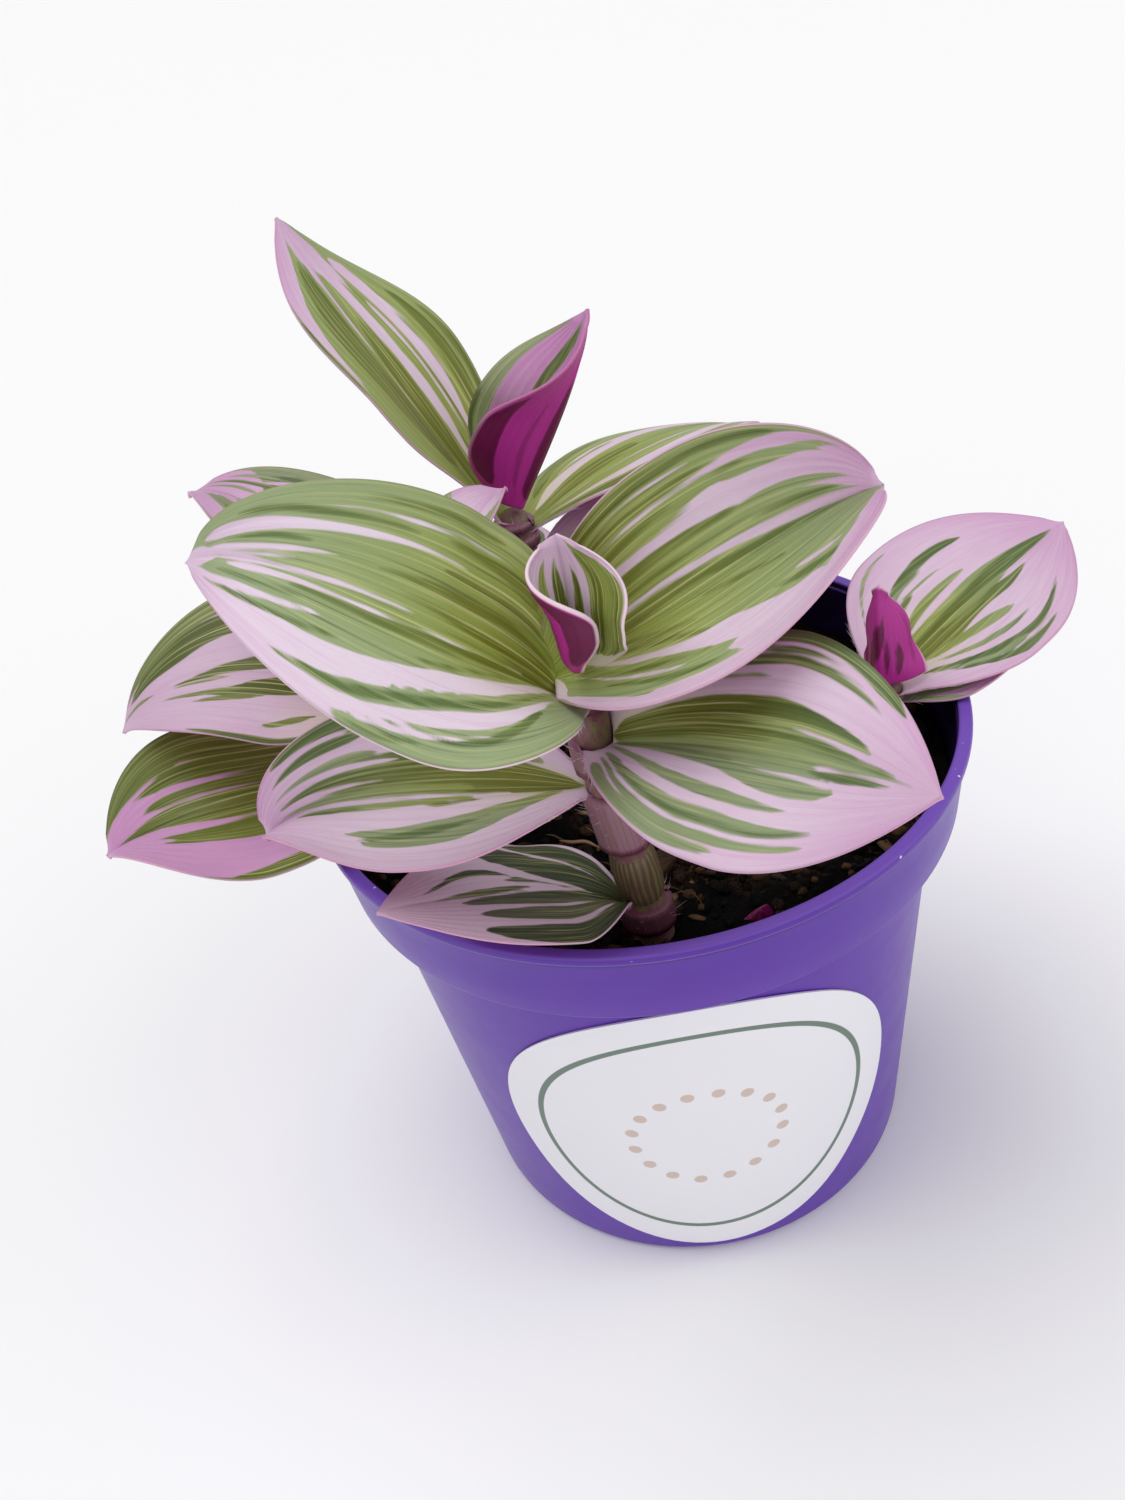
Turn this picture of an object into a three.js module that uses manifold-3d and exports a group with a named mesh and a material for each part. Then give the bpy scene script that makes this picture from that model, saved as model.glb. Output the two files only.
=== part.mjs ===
// Potted tradescantia: four leafy shoots in soil, in a tapered plastic nursery pot with a round label.
// Millimetres, +Z up. The origin is the centre of the pot's base, and the label faces -Y.
import * as THREE from 'three';
import { mergeVertices } from 'three/addons/utils/BufferGeometryUtils.js';
import Module from 'manifold-3d';

const wasm = await Module();
wasm.setup();

// Space left between neighbouring pieces
const GAP = 0.3;

// Pot: a conical body under a wider collar that ends in a small bead
const POT = {
  sides: 48, height: 76, wall: 1.2, floor: 1.6,
  baseRadius: 34.4, baseChamfer: 1, bodyTopRadius: 40.2,
  collarHeight: 12, collarFootRadius: 43.4, collarTopRadius: 44.4,
  rimRadius: 45, beadHeight: 1.6, beadRound: 0.4,
  drainCount: 8, drainRadius: 3, drainCircle: 24, drainSides: 16,
};
POT.stepHeight = POT.height - POT.collarHeight;

// Label: a paper disc wrapped on the conical body, just under the collar
const LABEL = { radius: 29, height: 31.7, thickness: 0.4, rings: 5, sides: 32 };

// Soil: its mean level, the ripples of its surface and the bark chips in it. Each wave has a count of
// crests around the pot, a twist per mm of radius, a phase and a height share.
const SOIL = {
  level: 67, relief: 0.6, calmCentre: 12, calmEdge: 8, rings: 8, sides: 36,
  waves: [[3, 0.31, 0, 1], [5, -0.53, 0, 0.7], [8, 0.9, 1, 0.6]],
  chips: 18, chipLength: 4.6, chipWidth: 2.8, chipThickness: 1.6, chipMargin: 5, chipTilt: 0.5,
  chipSmallest: 0.6, chipLargest: 1.2, seed: 7,
};

// Stems: radius at the soil and at the height of the tallest tip, and the spacing of their rings
const STEM = { sides: 10, foot: 2.6, top: 1.9, lowest: 66, highest: 113, ringSpacing: 7 };

// The old sheath that is left low on the front stem after its leaf has dropped
const OLD_SHEATH = { shoot: 'front', bottom: 74.6, top: 83.4, wall: 0.5 };

// Leaves: blade and sheath thickness, and how finely a blade is divided
const BLADE = { thickness: 0.8, along: 14, across: 3, tipHalfWidth: 0.3 };
const SHEATH = { wall: 0.6, above: 0.5 };

// How fast a blade widens from its base, and where along it the fold and curl settle and then change.
// Where half of its width is less than folds, the blade is too narrow to fold as far.
const FORM = { widening: 2.2, settled: 0.35, turning: 0.45, bendPower: 1.3, droopPower: 4, folds: 2.4 };

// The line of each shoot's stem, from its root end up
const SHOOTS = {
  front: [[-2.5, -31, 42], [-2.5, -31.5, 66], [-3.5, -34, 82], [-5, -36.5, 98], [-5.2, -38.8, 112]],
  left: [[-26, -8, 44], [-26.5, -8, 66], [-27, -9, 80], [-25.5, -8.5, 91], [-23.5, -8, 102]],
  back: [[-9, 25, 44], [-9.5, 24.5, 66], [-10.5, 22, 85], [-11.5, 20, 100.5]],
  right: [[32, 1, 50], [32.5, 0.5, 62], [33, -2, 70], [34, -5, 78.5]],
};

// Each leaf: its shoot, the height of its node and the blade's distance from the stem's axis; the
// midrib's heading (degrees from +X towards +Y), sweep of that heading, rise, bend and droop of the
// tip; the blade's roll about the midrib and its twist; its length, width, place of the widest point,
// width at the base and fullness of the tip; and the fold at the midrib (at the base, middle and tip)
// and curl of each half (at the base and beyond), where skew curls the left half more. Opening is the
// share of its curl that a rolled young leaf loses towards its tip. A leaf whose base is pressed by
// the next leaf's names that leaf in above, and is cut clear of it.
const LEAVES = {
  front_leaf_1: {
    shoot: 'front', z: 73, reach: 2.5, sheath: 4, heading: 196, sweep: 10, rise: 36, bend: 19, droop: 0,
    roll: 4, twist: -4, length: 32, width: 21, widest: 0.4, base: 0.12, tip: 2.2,
    foldBase: 25, fold: 11, foldTip: 4, curlBase: 20, curl: -15, skew: 0,
  },
  front_leaf_2: {
    shoot: 'front', z: 93.5, reach: 2.5, sheath: 9, heading: 172, sweep: -11, rise: 1, bend: 0, droop: 50,
    roll: -32, twist: -8, length: 41, width: 24, widest: 0.42, base: 0.15, tip: 2.3,
    foldBase: 25, fold: 18, foldTip: 42, curlBase: 25, curl: 35, skew: 0,
  },
  front_leaf_3: {
    shoot: 'front', z: 101.5, reach: 3, sheath: 4.5, heading: -46, sweep: -10, rise: 22, bend: 17,
    droop: -10, roll: 33, twist: 3, length: 40.3, width: 23.5, widest: 0.52, base: 0.4, tip: 1.8,
    foldBase: 20, fold: 16, foldTip: -2, curlBase: 30, curl: -15, skew: 0,
  },
  front_leaf_4: {
    shoot: 'front', z: 108, reach: 2.6, sheath: 1.5, heading: 207, sweep: -66, rise: 53, bend: 32, droop: 50,
    roll: -30, twist: -12, length: 43, width: 27, widest: 0.3, base: 0.3, tip: 1.9,
    foldBase: 25, fold: 1, foldTip: 15, curlBase: 10, curl: 5, skew: 0, above: 'front_leaf_5',
  },
  front_leaf_5: {
    shoot: 'front', z: 110.3, reach: -2.6, sheath: 0, heading: -8, sweep: 28, rise: 24, bend: -5, droop: 35,
    roll: 41, twist: -4, length: 37, width: 26.5, widest: 0.48, base: 0.25, tip: 3,
    foldBase: 20, fold: 19, foldTip: 36, curlBase: 20, curl: 35, skew: 0, above: 'front_leaf_6',
  },
  front_leaf_6: {
    shoot: 'front', z: 112.5, reach: -1.2, sheath: 0, heading: 88, sweep: -12, rise: 84, bend: 3, droop: 0,
    roll: 0, twist: -4, length: 13.4, width: 18, widest: 0.56, base: 0.3, tip: 1.9,
    foldBase: 20, fold: 35, foldTip: 15, curlBase: 95, curl: 100, skew: 75, opening: 0.65,
  },
  left_leaf_1: {
    shoot: 'left', z: 73, reach: 2.5, sheath: 3, heading: 100, sweep: 0, rise: 35, bend: 30, droop: 10,
    roll: 0, twist: 0, length: 34, width: 20, widest: 0.42, base: 0.25, tip: 2,
    foldBase: 20, fold: 8, foldTip: 8, curlBase: 15, curl: -10, skew: 0,
  },
  left_leaf_2: {
    shoot: 'left', z: 81, reach: 2.5, sheath: 6, heading: 187, sweep: -2, rise: 7, bend: 15, droop: 15,
    roll: -14, twist: -1, length: 42, width: 26.5, widest: 0.56, base: 0.25, tip: 2.6,
    foldBase: 20, fold: -3, foldTip: 38, curlBase: 20, curl: 10, skew: 0,
  },
  left_leaf_3: {
    shoot: 'left', z: 90, reach: 2.5, sheath: 6, heading: 163, sweep: 12, rise: 28, bend: 58, droop: 25,
    roll: -21, twist: 3, length: 44, width: 27, widest: 0.36, base: 0.25, tip: 1.8,
    foldBase: 20, fold: 15, foldTip: 7, curlBase: 20, curl: 0, skew: 0,
  },
  left_leaf_4: {
    shoot: 'left', z: 97, reach: 2.5, sheath: 3, heading: 129, sweep: 8, rise: 36, bend: 33, droop: 30,
    roll: 3, twist: 0, length: 47, width: 23.5, widest: 0.36, base: 0.25, tip: 1.4,
    foldBase: 20, fold: 15, foldTip: 18, curlBase: 20, curl: 5, skew: 0,
  },
  left_leaf_5: {
    shoot: 'left', z: 102, reach: 1, sheath: 2, heading: 49, sweep: 8, rise: 34, bend: 21, droop: 25,
    roll: -8, twist: 11, length: 21.5, width: 12.5, widest: 0.44, base: 0.25, tip: 2.2,
    foldBase: 40, fold: 23, foldTip: 27, curlBase: 20, curl: 20, skew: 0,
  },
  back_leaf_1: {
    shoot: 'back', z: 84, reach: 2.4, sheath: 5, heading: 115, sweep: 0, rise: 8, bend: 35, droop: 10,
    roll: 0, twist: 0, length: 36, width: 22, widest: 0.42, base: 0.25, tip: 2,
    foldBase: 20, fold: 8, foldTip: 8, curlBase: 15, curl: -10, skew: 0,
  },
  back_leaf_2: {
    shoot: 'back', z: 90, reach: 2.4, sheath: 3.5, heading: -8, sweep: 0, rise: 25, bend: 35, droop: 10,
    roll: 5, twist: 0, length: 40, width: 22, widest: 0.42, base: 0.25, tip: 2,
    foldBase: 20, fold: 8, foldTip: 8, curlBase: 15, curl: -10, skew: 0,
  },
  back_leaf_3: {
    shoot: 'back', z: 96.5, reach: 2.4, sheath: 1.6, heading: 36, sweep: -3, rise: 13, bend: 39, droop: 5,
    roll: -10, twist: -3, length: 48, width: 25.5, widest: 0.44, base: 0.2, tip: 1.9,
    foldBase: 5, fold: 9, foldTip: 11, curlBase: 10, curl: -15, skew: 0,
  },
  back_leaf_4: {
    shoot: 'back', z: 99, reach: 2.2, sheath: 1.2, heading: 154, sweep: -8, rise: 62, bend: 6, droop: -5,
    roll: 8, twist: -1, length: 48.5, width: 27, widest: 0.46, base: 0.25, tip: 2.2,
    foldBase: 20, fold: 22, foldTip: -3, curlBase: 15, curl: -10, skew: 0,
  },
  back_leaf_5: {
    shoot: 'back', z: 101, reach: 1.5, sheath: 0, heading: -16, sweep: 15, rise: 58, bend: -3, droop: -15,
    roll: 8, twist: 14, length: 29.5, width: 23, widest: 0.38, base: 0.28, tip: 2.1,
    foldBase: 62, fold: 64, foldTip: 19, curlBase: 35, curl: 10, skew: 0,
  },
  right_leaf_1: {
    shoot: 'right', z: 70.7, reach: 2.4, sheath: 1.8, heading: 165, sweep: 0, rise: 40, bend: 35, droop: 10,
    roll: 0, twist: 0, length: 34, width: 20, widest: 0.42, base: 0.25, tip: 2,
    foldBase: 20, fold: 8, foldTip: 8, curlBase: 15, curl: -10, skew: 0,
  },
  right_leaf_2: {
    shoot: 'right', z: 74, reach: 2.4, sheath: 1, heading: 10, sweep: 0, rise: 21, bend: 15, droop: 0,
    roll: 0, twist: 0, length: 22, width: 17, widest: 0.42, base: 0.3, tip: 2,
    foldBase: 5, fold: 5, foldTip: 8, curlBase: 15, curl: 0, skew: 0,
  },
  right_leaf_3: {
    shoot: 'right', z: 76.5, reach: 2.2, sheath: 0.5, heading: 36, sweep: -8, rise: 15, bend: 6, droop: -5,
    roll: 6, twist: 5, length: 36, width: 30, widest: 0.34, base: 0.35, tip: 2.3,
    foldBase: 10, fold: 15, foldTip: 23, curlBase: 10, curl: 0, skew: 0,
  },
  right_leaf_4: {
    shoot: 'right', z: 78.5, reach: 1.5, sheath: 0, heading: 222, sweep: 11, rise: 86, bend: -11, droop: -10,
    roll: 2, twist: 6, length: 15, width: 13.5, widest: 0.38, base: 1, tip: 1.8,
    foldBase: 30, fold: 31, foldTip: 41, curlBase: 35, curl: 70, skew: 10,
  },
};

// A leaf tip that has just come through the soil, and the small hollow it stands in
const SPROUT = {
  foot: [9.8, -33.5, 64.8], length: 4.9, radius: 3.2, flatness: 0.42, lean: 20, hollow: 3.6, hollowDepth: 6.5,
};

const COLORS = {
  pot: 0x6a3fae, label: 0xe9e7ee, soil: 0x2b2019, stem: 0x8a6370, leaf: 0xa8a884, sprout: 0x7a2456,
};
const ROUGHNESS = { pot: 0.35, label: 0.7, soil: 1, stem: 0.55, leaf: 0.5, sprout: 0.5 };

const radians = THREE.MathUtils.degToRad;
const smooth = THREE.MathUtils.smoothstep;

// Repeatable random numbers between 0 and 1, from a multiplying generator
function randomFrom(seed) {
  const factor = 16807;
  const modulus = 2147483647;
  let state = seed;
  return () => {
    state = (state * factor) % modulus;
    return state / modulus;
  };
}

// A closed geometry from rings of points that all have the same count; both ends are capped
function loft(rings) {
  const count = rings[0].length;
  const positions = rings.flat().flatMap((point) => point.toArray());
  const faces = [];
  for (let ring = 0; ring < rings.length - 1; ring += 1) {
    for (let side = 0; side < count; side += 1) {
      const next = (side + 1) % count;
      const a = ring * count + side;
      const b = ring * count + next;
      faces.push(a, b, b + count, a, b + count, a + count);
    }
  }
  const first = positions.length / 3;
  const last = (rings.length - 1) * count;
  for (const ring of [rings[0], rings[rings.length - 1]]) {
    const centre = ring.reduce((sum, point) => sum.add(point), new THREE.Vector3()).divideScalar(count);
    positions.push(...centre.toArray());
  }
  for (let side = 0; side < count; side += 1) {
    const next = (side + 1) % count;
    faces.push(first, next, side);
    faces.push(first + 1, last + side, last + next);
  }
  const geometry = new THREE.BufferGeometry();
  geometry.setAttribute('position', new THREE.Float32BufferAttribute(positions, 3));
  geometry.setIndex(faces);
  return geometry;
}

// A closed slab from a grid of points with a front and a back face that are split alike
function slab(front, back) {
  const rows = front.length;
  const columns = front[0].length;
  const positions = [...front.flat(), ...back.flat()].flatMap((point) => point.toArray());
  const offset = rows * columns;
  const faces = [];
  const quad = (a, b, c, d) => faces.push(a, b, c, a, c, d);
  for (let row = 0; row < rows - 1; row += 1) {
    for (let column = 0; column < columns - 1; column += 1) {
      const a = row * columns + column;
      faces.push(a, a + columns, a + columns + 1, a, a + columns + 1, a + 1);
      faces.push(a + offset, a + columns + 1 + offset, a + columns + offset);
      faces.push(a + offset, a + 1 + offset, a + columns + 1 + offset);
    }
    const left = row * columns;
    const right = left + columns - 1;
    quad(left + offset, left + columns + offset, left + columns, left);
    quad(right, right + columns, right + columns + offset, right + offset);
  }
  for (let column = 0; column < columns - 1; column += 1) {
    const far = (rows - 1) * columns + column;
    quad(column, column + 1, column + 1 + offset, column + offset);
    quad(far + offset, far + 1 + offset, far + 1, far);
  }
  const geometry = new THREE.BufferGeometry();
  geometry.setAttribute('position', new THREE.Float32BufferAttribute(positions, 3));
  geometry.setIndex(faces);
  return geometry;
}

function toSolid(geometry) {
  const bare = geometry.clone();
  bare.deleteAttribute('normal');
  bare.deleteAttribute('uv');
  const merged = mergeVertices(bare, 1e-4);
  return new wasm.Manifold(new wasm.Mesh({
    numProp: 3,
    vertProperties: new Float32Array(merged.attributes.position.array),
    triVerts: new Uint32Array(merged.index.array),
  }));
}

function toGeometry(solid) {
  const mesh = solid.getMesh();
  const geometry = new THREE.BufferGeometry();
  geometry.setAttribute('position', new THREE.BufferAttribute(mesh.vertProperties, 3));
  geometry.setIndex(new THREE.BufferAttribute(mesh.triVerts, 1));
  return geometry;
}

// The biggest of the pieces that a cut leaves
function biggest(solid) {
  const pieces = solid.decompose();
  return pieces.reduce((best, piece) => (piece.volume() > best.volume() ? piece : best));
}

const object = new THREE.Group();

function place(name, geometry, kind) {
  const look = { color: COLORS[kind], roughness: ROUGHNESS[kind], metalness: 0 };
  const material = new THREE.MeshStandardMaterial(look);
  const mesh = new THREE.Mesh(geometry, material);
  mesh.name = name;
  object.add(mesh);
}

// Pot
function potOuterRadius(z) {
  const share = (z - POT.baseChamfer) / (POT.stepHeight - POT.baseChamfer);
  return THREE.MathUtils.lerp(POT.baseRadius, POT.bodyTopRadius, share);
}

function potGeometry() {
  const beadFoot = POT.height - POT.beadHeight;
  const shelf = POT.stepHeight + POT.wall;
  const profile = [
    [0, 0],
    [POT.baseRadius - POT.baseChamfer, 0],
    [POT.baseRadius, POT.baseChamfer],
    [POT.bodyTopRadius, POT.stepHeight],
    [POT.collarFootRadius, POT.stepHeight],
    [POT.collarTopRadius, beadFoot],
    [POT.rimRadius, beadFoot + POT.beadRound],
    [POT.rimRadius, POT.height - POT.beadRound],
    [POT.rimRadius - POT.beadRound, POT.height],
    [POT.collarTopRadius - POT.wall, POT.height],
    [POT.collarFootRadius - POT.wall, shelf],
    [POT.bodyTopRadius - POT.wall, shelf],
    [POT.baseRadius - POT.wall, POT.floor],
    [0, POT.floor],
  ];
  const points = profile.map(([radius, z]) => new THREE.Vector2(radius, z));
  const lathe = new THREE.LatheGeometry(points, POT.sides).rotateX(Math.PI / 2);
  let pot = toSolid(lathe);
  for (let index = 0; index < POT.drainCount; index += 1) {
    const angle = (index + 0.5) * 2 * Math.PI / POT.drainCount;
    const length = POT.floor * 4;
    const hole = new THREE.CylinderGeometry(POT.drainRadius, POT.drainRadius, length, POT.drainSides);
    hole.rotateX(Math.PI / 2);
    hole.translate(POT.drainCircle * Math.cos(angle), POT.drainCircle * Math.sin(angle), 0);
    pot = pot.subtract(toSolid(hole));
  }
  return toGeometry(pot);
}

// Label: a flat disc's points, unrolled from the cone of the pot's body and wrapped back on it
function labelPoint(across, up, lift) {
  const slope = (POT.bodyTopRadius - POT.baseRadius) / (POT.stepHeight - POT.baseChamfer);
  const tilt = Math.atan(slope);
  const middle = potOuterRadius(LABEL.height) / Math.sin(tilt);
  const reach = Math.hypot(across, middle + up);
  const turn = Math.atan2(across, middle + up) / Math.sin(tilt);
  const radius = reach * Math.sin(tilt) + lift * Math.cos(tilt);
  const z = LABEL.height + (reach - middle) * Math.cos(tilt) - lift * Math.sin(tilt);
  return new THREE.Vector3(radius * Math.sin(turn), -radius * Math.cos(turn), z);
}

function labelGeometry() {
  const near = GAP;
  const far = GAP + LABEL.thickness;
  const ring = (radius, lift) => {
    const points = [];
    for (let side = 0; side < LABEL.sides; side += 1) {
      const angle = side * 2 * Math.PI / LABEL.sides;
      points.push(labelPoint(radius * Math.cos(angle), radius * Math.sin(angle), lift));
    }
    return points;
  };
  const radii = [];
  for (let step = 1; step <= LABEL.rings; step += 1) {
    radii.push(LABEL.radius * step / LABEL.rings);
  }
  const inner = radii.map((radius) => ring(radius, near));
  const outer = radii.map((radius) => ring(radius, far)).reverse();
  return loft([...inner, ...outer]);
}

// Stems
function shootCurve(shoot) {
  const points = SHOOTS[shoot].map((point) => new THREE.Vector3(...point));
  return new THREE.CatmullRomCurve3(points, false, 'catmullrom', 0.5);
}

// The point of a shoot's curve at a height; past its ends the curve goes on straight
function stemPoint(shoot, z) {
  const curve = shootCurve(shoot);
  for (const share of [0, 1]) {
    const end = curve.getPoint(share);
    if (share === 0 ? z <= end.z : z >= end.z) {
      const direction = curve.getTangent(share);
      return end.addScaledVector(direction, (z - end.z) / direction.z);
    }
  }
  let low = 0;
  let high = 1;
  const halvings = 30;
  for (let turn = 0; turn < halvings; turn += 1) {
    const middle = (low + high) / 2;
    if (curve.getPoint(middle).z < z) {
      low = middle;
    } else {
      high = middle;
    }
  }
  return curve.getPoint(low);
}

function stemRadius(z) {
  const share = THREE.MathUtils.clamp((z - STEM.lowest) / (STEM.highest - STEM.lowest), 0, 1);
  return THREE.MathUtils.lerp(STEM.foot, STEM.top, share);
}

// A round rod that follows a shoot between two heights, wider than the stem by a margin
function stemRod(shoot, bottom, top, steps, margin) {
  const rings = [];
  for (let step = 0; step <= steps; step += 1) {
    const z = THREE.MathUtils.lerp(bottom, top, step / steps);
    const centre = stemPoint(shoot, z);
    const tangent = stemPoint(shoot, z + 1).sub(stemPoint(shoot, z - 1)).normalize();
    const right = new THREE.Vector3(0, 1, 0).cross(tangent).normalize();
    const back = tangent.clone().cross(right);
    const radius = stemRadius(z) + margin;
    const ring = [];
    for (let side = 0; side < STEM.sides; side += 1) {
      const angle = side * 2 * Math.PI / STEM.sides;
      ring.push(centre.clone()
        .addScaledVector(right, radius * Math.cos(angle))
        .addScaledVector(back, radius * Math.sin(angle)));
    }
    rings.push(ring);
  }
  return toSolid(loft(rings));
}

function stemEnds(shoot) {
  const points = SHOOTS[shoot];
  return [points[0][2], points[points.length - 1][2]];
}

function stemSolid(shoot, margin) {
  const [bottom, top] = stemEnds(shoot);
  const steps = Math.round((top - bottom) / STEM.ringSpacing);
  const stem = stemRod(shoot, bottom - margin, top + margin, steps, margin);
  if (shoot !== OLD_SHEATH.shoot) {
    return stem;
  }
  const wall = OLD_SHEATH.wall + margin;
  return stem.add(stemRod(shoot, OLD_SHEATH.bottom - margin, OLD_SHEATH.top + margin, 1, wall));
}

// Leaves
function halfWidth(leaf, share) {
  const rise = leaf.base + (1 - leaf.base) * (1 - (1 - share / leaf.widest) ** FORM.widening);
  const fall = 1 - (Math.max(0, share - leaf.widest) / (1 - leaf.widest)) ** leaf.tip;
  return Math.max(BLADE.tipHalfWidth, leaf.width / 2 * (share < leaf.widest ? rise : fall));
}

// The midrib as a list of frames: its point, the way to the left and the way up
function midrib(leaf, foot) {
  const frames = [];
  const point = foot.clone();
  let previous = null;
  for (let step = 0; step <= BLADE.along; step += 1) {
    const share = step / BLADE.along;
    const heading = radians(leaf.heading + leaf.sweep * share);
    const bend = leaf.bend * share ** FORM.bendPower + leaf.droop * share ** FORM.droopPower;
    const pitch = radians(leaf.rise - bend);
    const roll = radians(leaf.roll + leaf.twist * share);
    const direction = new THREE.Vector3(
      Math.cos(pitch) * Math.cos(heading),
      Math.cos(pitch) * Math.sin(heading),
      Math.sin(pitch),
    );
    if (previous) {
      const stride = direction.clone().add(previous).multiplyScalar(leaf.length / BLADE.along / 2);
      point.add(stride);
    }
    previous = direction;
    const level = new THREE.Vector3(-Math.sin(heading), Math.cos(heading), 0);
    const above = direction.clone().cross(level);
    const left = level.clone().multiplyScalar(Math.cos(roll)).addScaledVector(above, Math.sin(roll));
    const up = above.clone().multiplyScalar(Math.cos(roll)).addScaledVector(level, -Math.sin(roll));
    frames.push({ share, point: point.clone(), left, up });
  }
  return frames;
}

// One half of a cross-section, from the midrib out: points on the blade's upper or lower face
function halfSection(leaf, frame, side, lift) {
  const { share, point, left, up } = frame;
  const settled = smooth(share, 0, FORM.settled);
  const towardsTip = smooth(share, FORM.turning, 1);
  const width = halfWidth(leaf, share);
  const foldable = Math.min(1, width / FORM.folds);
  const outerFold = THREE.MathUtils.lerp(leaf.fold, leaf.foldTip, towardsTip);
  const fold = foldable * THREE.MathUtils.lerp(leaf.foldBase, outerFold, settled);
  const outerCurl = THREE.MathUtils.lerp(leaf.curlBase, leaf.curl, settled);
  const opening = (leaf.opening ?? 0) * towardsTip;
  const curl = foldable * (1 - opening) * (outerCurl + side * leaf.skew);
  const middle = point.clone();
  const points = [];
  for (let step = 0; step <= BLADE.across; step += 1) {
    const reach = step / BLADE.across;
    if (step > 0) {
      const slope = radians(fold + curl * (reach - 0.5 / BLADE.across));
      middle.addScaledVector(left, side * Math.cos(slope) * width / BLADE.across);
      middle.addScaledVector(up, Math.sin(slope) * width / BLADE.across);
    }
    const tilt = step > 0 ? radians(fold + curl * reach) : 0;
    points.push(middle.clone()
      .addScaledVector(left, -side * Math.sin(tilt) * lift)
      .addScaledVector(up, Math.cos(tilt) * lift));
  }
  return points;
}

function bladeSolid(leaf, margin) {
  const heading = radians(leaf.heading);
  const foot = stemPoint(leaf.shoot, leaf.z);
  foot.add(new THREE.Vector3(Math.cos(heading), Math.sin(heading), 0).multiplyScalar(leaf.reach));
  const lift = BLADE.thickness / 2 + margin;
  const faces = [lift, -lift].map((height) => midrib(leaf, foot).map((frame) => {
    const right = halfSection(leaf, frame, -1, height).reverse();
    const left = halfSection(leaf, frame, 1, height).slice(1);
    return [...right, ...left];
  }));
  return toSolid(slab(faces[0], faces[1]));
}

function leafGeometry(leaf) {
  let solid = bladeSolid(leaf, 0);
  if (leaf.sheath > 0) {
    const bottom = leaf.z - leaf.sheath;
    solid = solid.add(stemRod(leaf.shoot, bottom, leaf.z + SHEATH.above, 1, GAP + SHEATH.wall));
  }
  if (leaf.above) {
    solid = solid.subtract(bladeSolid(LEAVES[leaf.above], GAP));
  }
  return toGeometry(biggest(solid.subtract(stemSolid(leaf.shoot, GAP))));
}

// Soil: rings of points from the pot's floor up its wall and then in over the rough surface
const SOIL_EDGE = POT.collarFootRadius - POT.wall - GAP;

function soilHeight(radius, angle) {
  const nearEdge = smooth(radius, SOIL_EDGE - SOIL.calmEdge, SOIL_EDGE);
  const calm = smooth(radius, 0, SOIL.calmCentre) * (1 - nearEdge);
  const ripple = SOIL.waves.reduce(
    (sum, [crests, twist, phase, share]) => sum + share * Math.sin(crests * angle + twist * radius + phase),
    0,
  );
  return SOIL.level + SOIL.relief * calm * ripple;
}

function soilSolid() {
  const bodyTop = POT.bodyTopRadius - POT.wall - GAP;
  const shelf = POT.stepHeight + POT.wall + GAP;
  const ring = (radius, height) => {
    const points = [];
    for (let side = 0; side < SOIL.sides; side += 1) {
      const angle = side * 2 * Math.PI / SOIL.sides;
      const z = height ?? soilHeight(radius, angle);
      points.push(new THREE.Vector3(radius * Math.cos(angle), radius * Math.sin(angle), z));
    }
    return points;
  };
  const rings = [
    ring(POT.baseRadius - POT.wall - GAP, POT.floor + GAP),
    ring(bodyTop, shelf - GAP),
    ring(bodyTop, shelf),
    ring(SOIL_EDGE, shelf),
  ];
  for (let step = 0; step < SOIL.rings; step += 1) {
    rings.push(ring(SOIL_EDGE * (1 - step / SOIL.rings)));
  }
  let soil = toSolid(loft(rings));
  const random = randomFrom(SOIL.seed);
  for (let index = 0; index < SOIL.chips; index += 1) {
    const radius = (SOIL_EDGE - SOIL.chipMargin) * Math.sqrt(random());
    const angle = 2 * Math.PI * random();
    const size = THREE.MathUtils.lerp(SOIL.chipSmallest, SOIL.chipLargest, random());
    const chip = new THREE.BoxGeometry(SOIL.chipLength * size, SOIL.chipWidth * size, SOIL.chipThickness);
    chip.rotateX(SOIL.chipTilt * (2 * random() - 1));
    chip.rotateY(SOIL.chipTilt * (2 * random() - 1));
    chip.rotateZ(2 * Math.PI * random());
    chip.translate(radius * Math.cos(angle), radius * Math.sin(angle), soilHeight(radius, angle));
    soil = soil.add(toSolid(chip));
  }
  for (const shoot of Object.keys(SHOOTS)) {
    soil = soil.subtract(stemSolid(shoot, GAP));
  }
  return biggest(soil.subtract(sproutHollow()));
}

// Sprout: a flattened cone that leans towards +X, in a hollow of the soil
const sproutFoot = new THREE.Vector3(...SPROUT.foot);

function sproutGeometry() {
  const cone = new THREE.ConeGeometry(SPROUT.radius, SPROUT.length, STEM.sides).rotateX(Math.PI / 2);
  cone.translate(0, 0, SPROUT.length / 2);
  cone.scale(1, SPROUT.flatness, 1);
  cone.rotateY(radians(SPROUT.lean));
  return cone.translate(...sproutFoot.toArray());
}

function sproutHollow() {
  const depth = SPROUT.hollowDepth;
  const hollow = new THREE.CylinderGeometry(SPROUT.hollow, SPROUT.hollow, depth, STEM.sides);
  hollow.rotateX(Math.PI / 2);
  hollow.translate(0, 0, depth / 2 - 2 * GAP - SPROUT.radius * Math.sin(radians(SPROUT.lean)));
  return toSolid(hollow.translate(...sproutFoot.toArray()));
}

place('pot', potGeometry(), 'pot');
place('label', labelGeometry(), 'label');
place('soil', toGeometry(soilSolid()), 'soil');
for (const shoot of Object.keys(SHOOTS)) {
  place(`${shoot}_stem`, toGeometry(stemSolid(shoot, 0)), 'stem');
}
for (const [name, leaf] of Object.entries(LEAVES)) {
  place(name, leafGeometry(leaf), 'leaf');
}
place('sprout', sproutGeometry(), 'sprout');

export default object;
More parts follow.
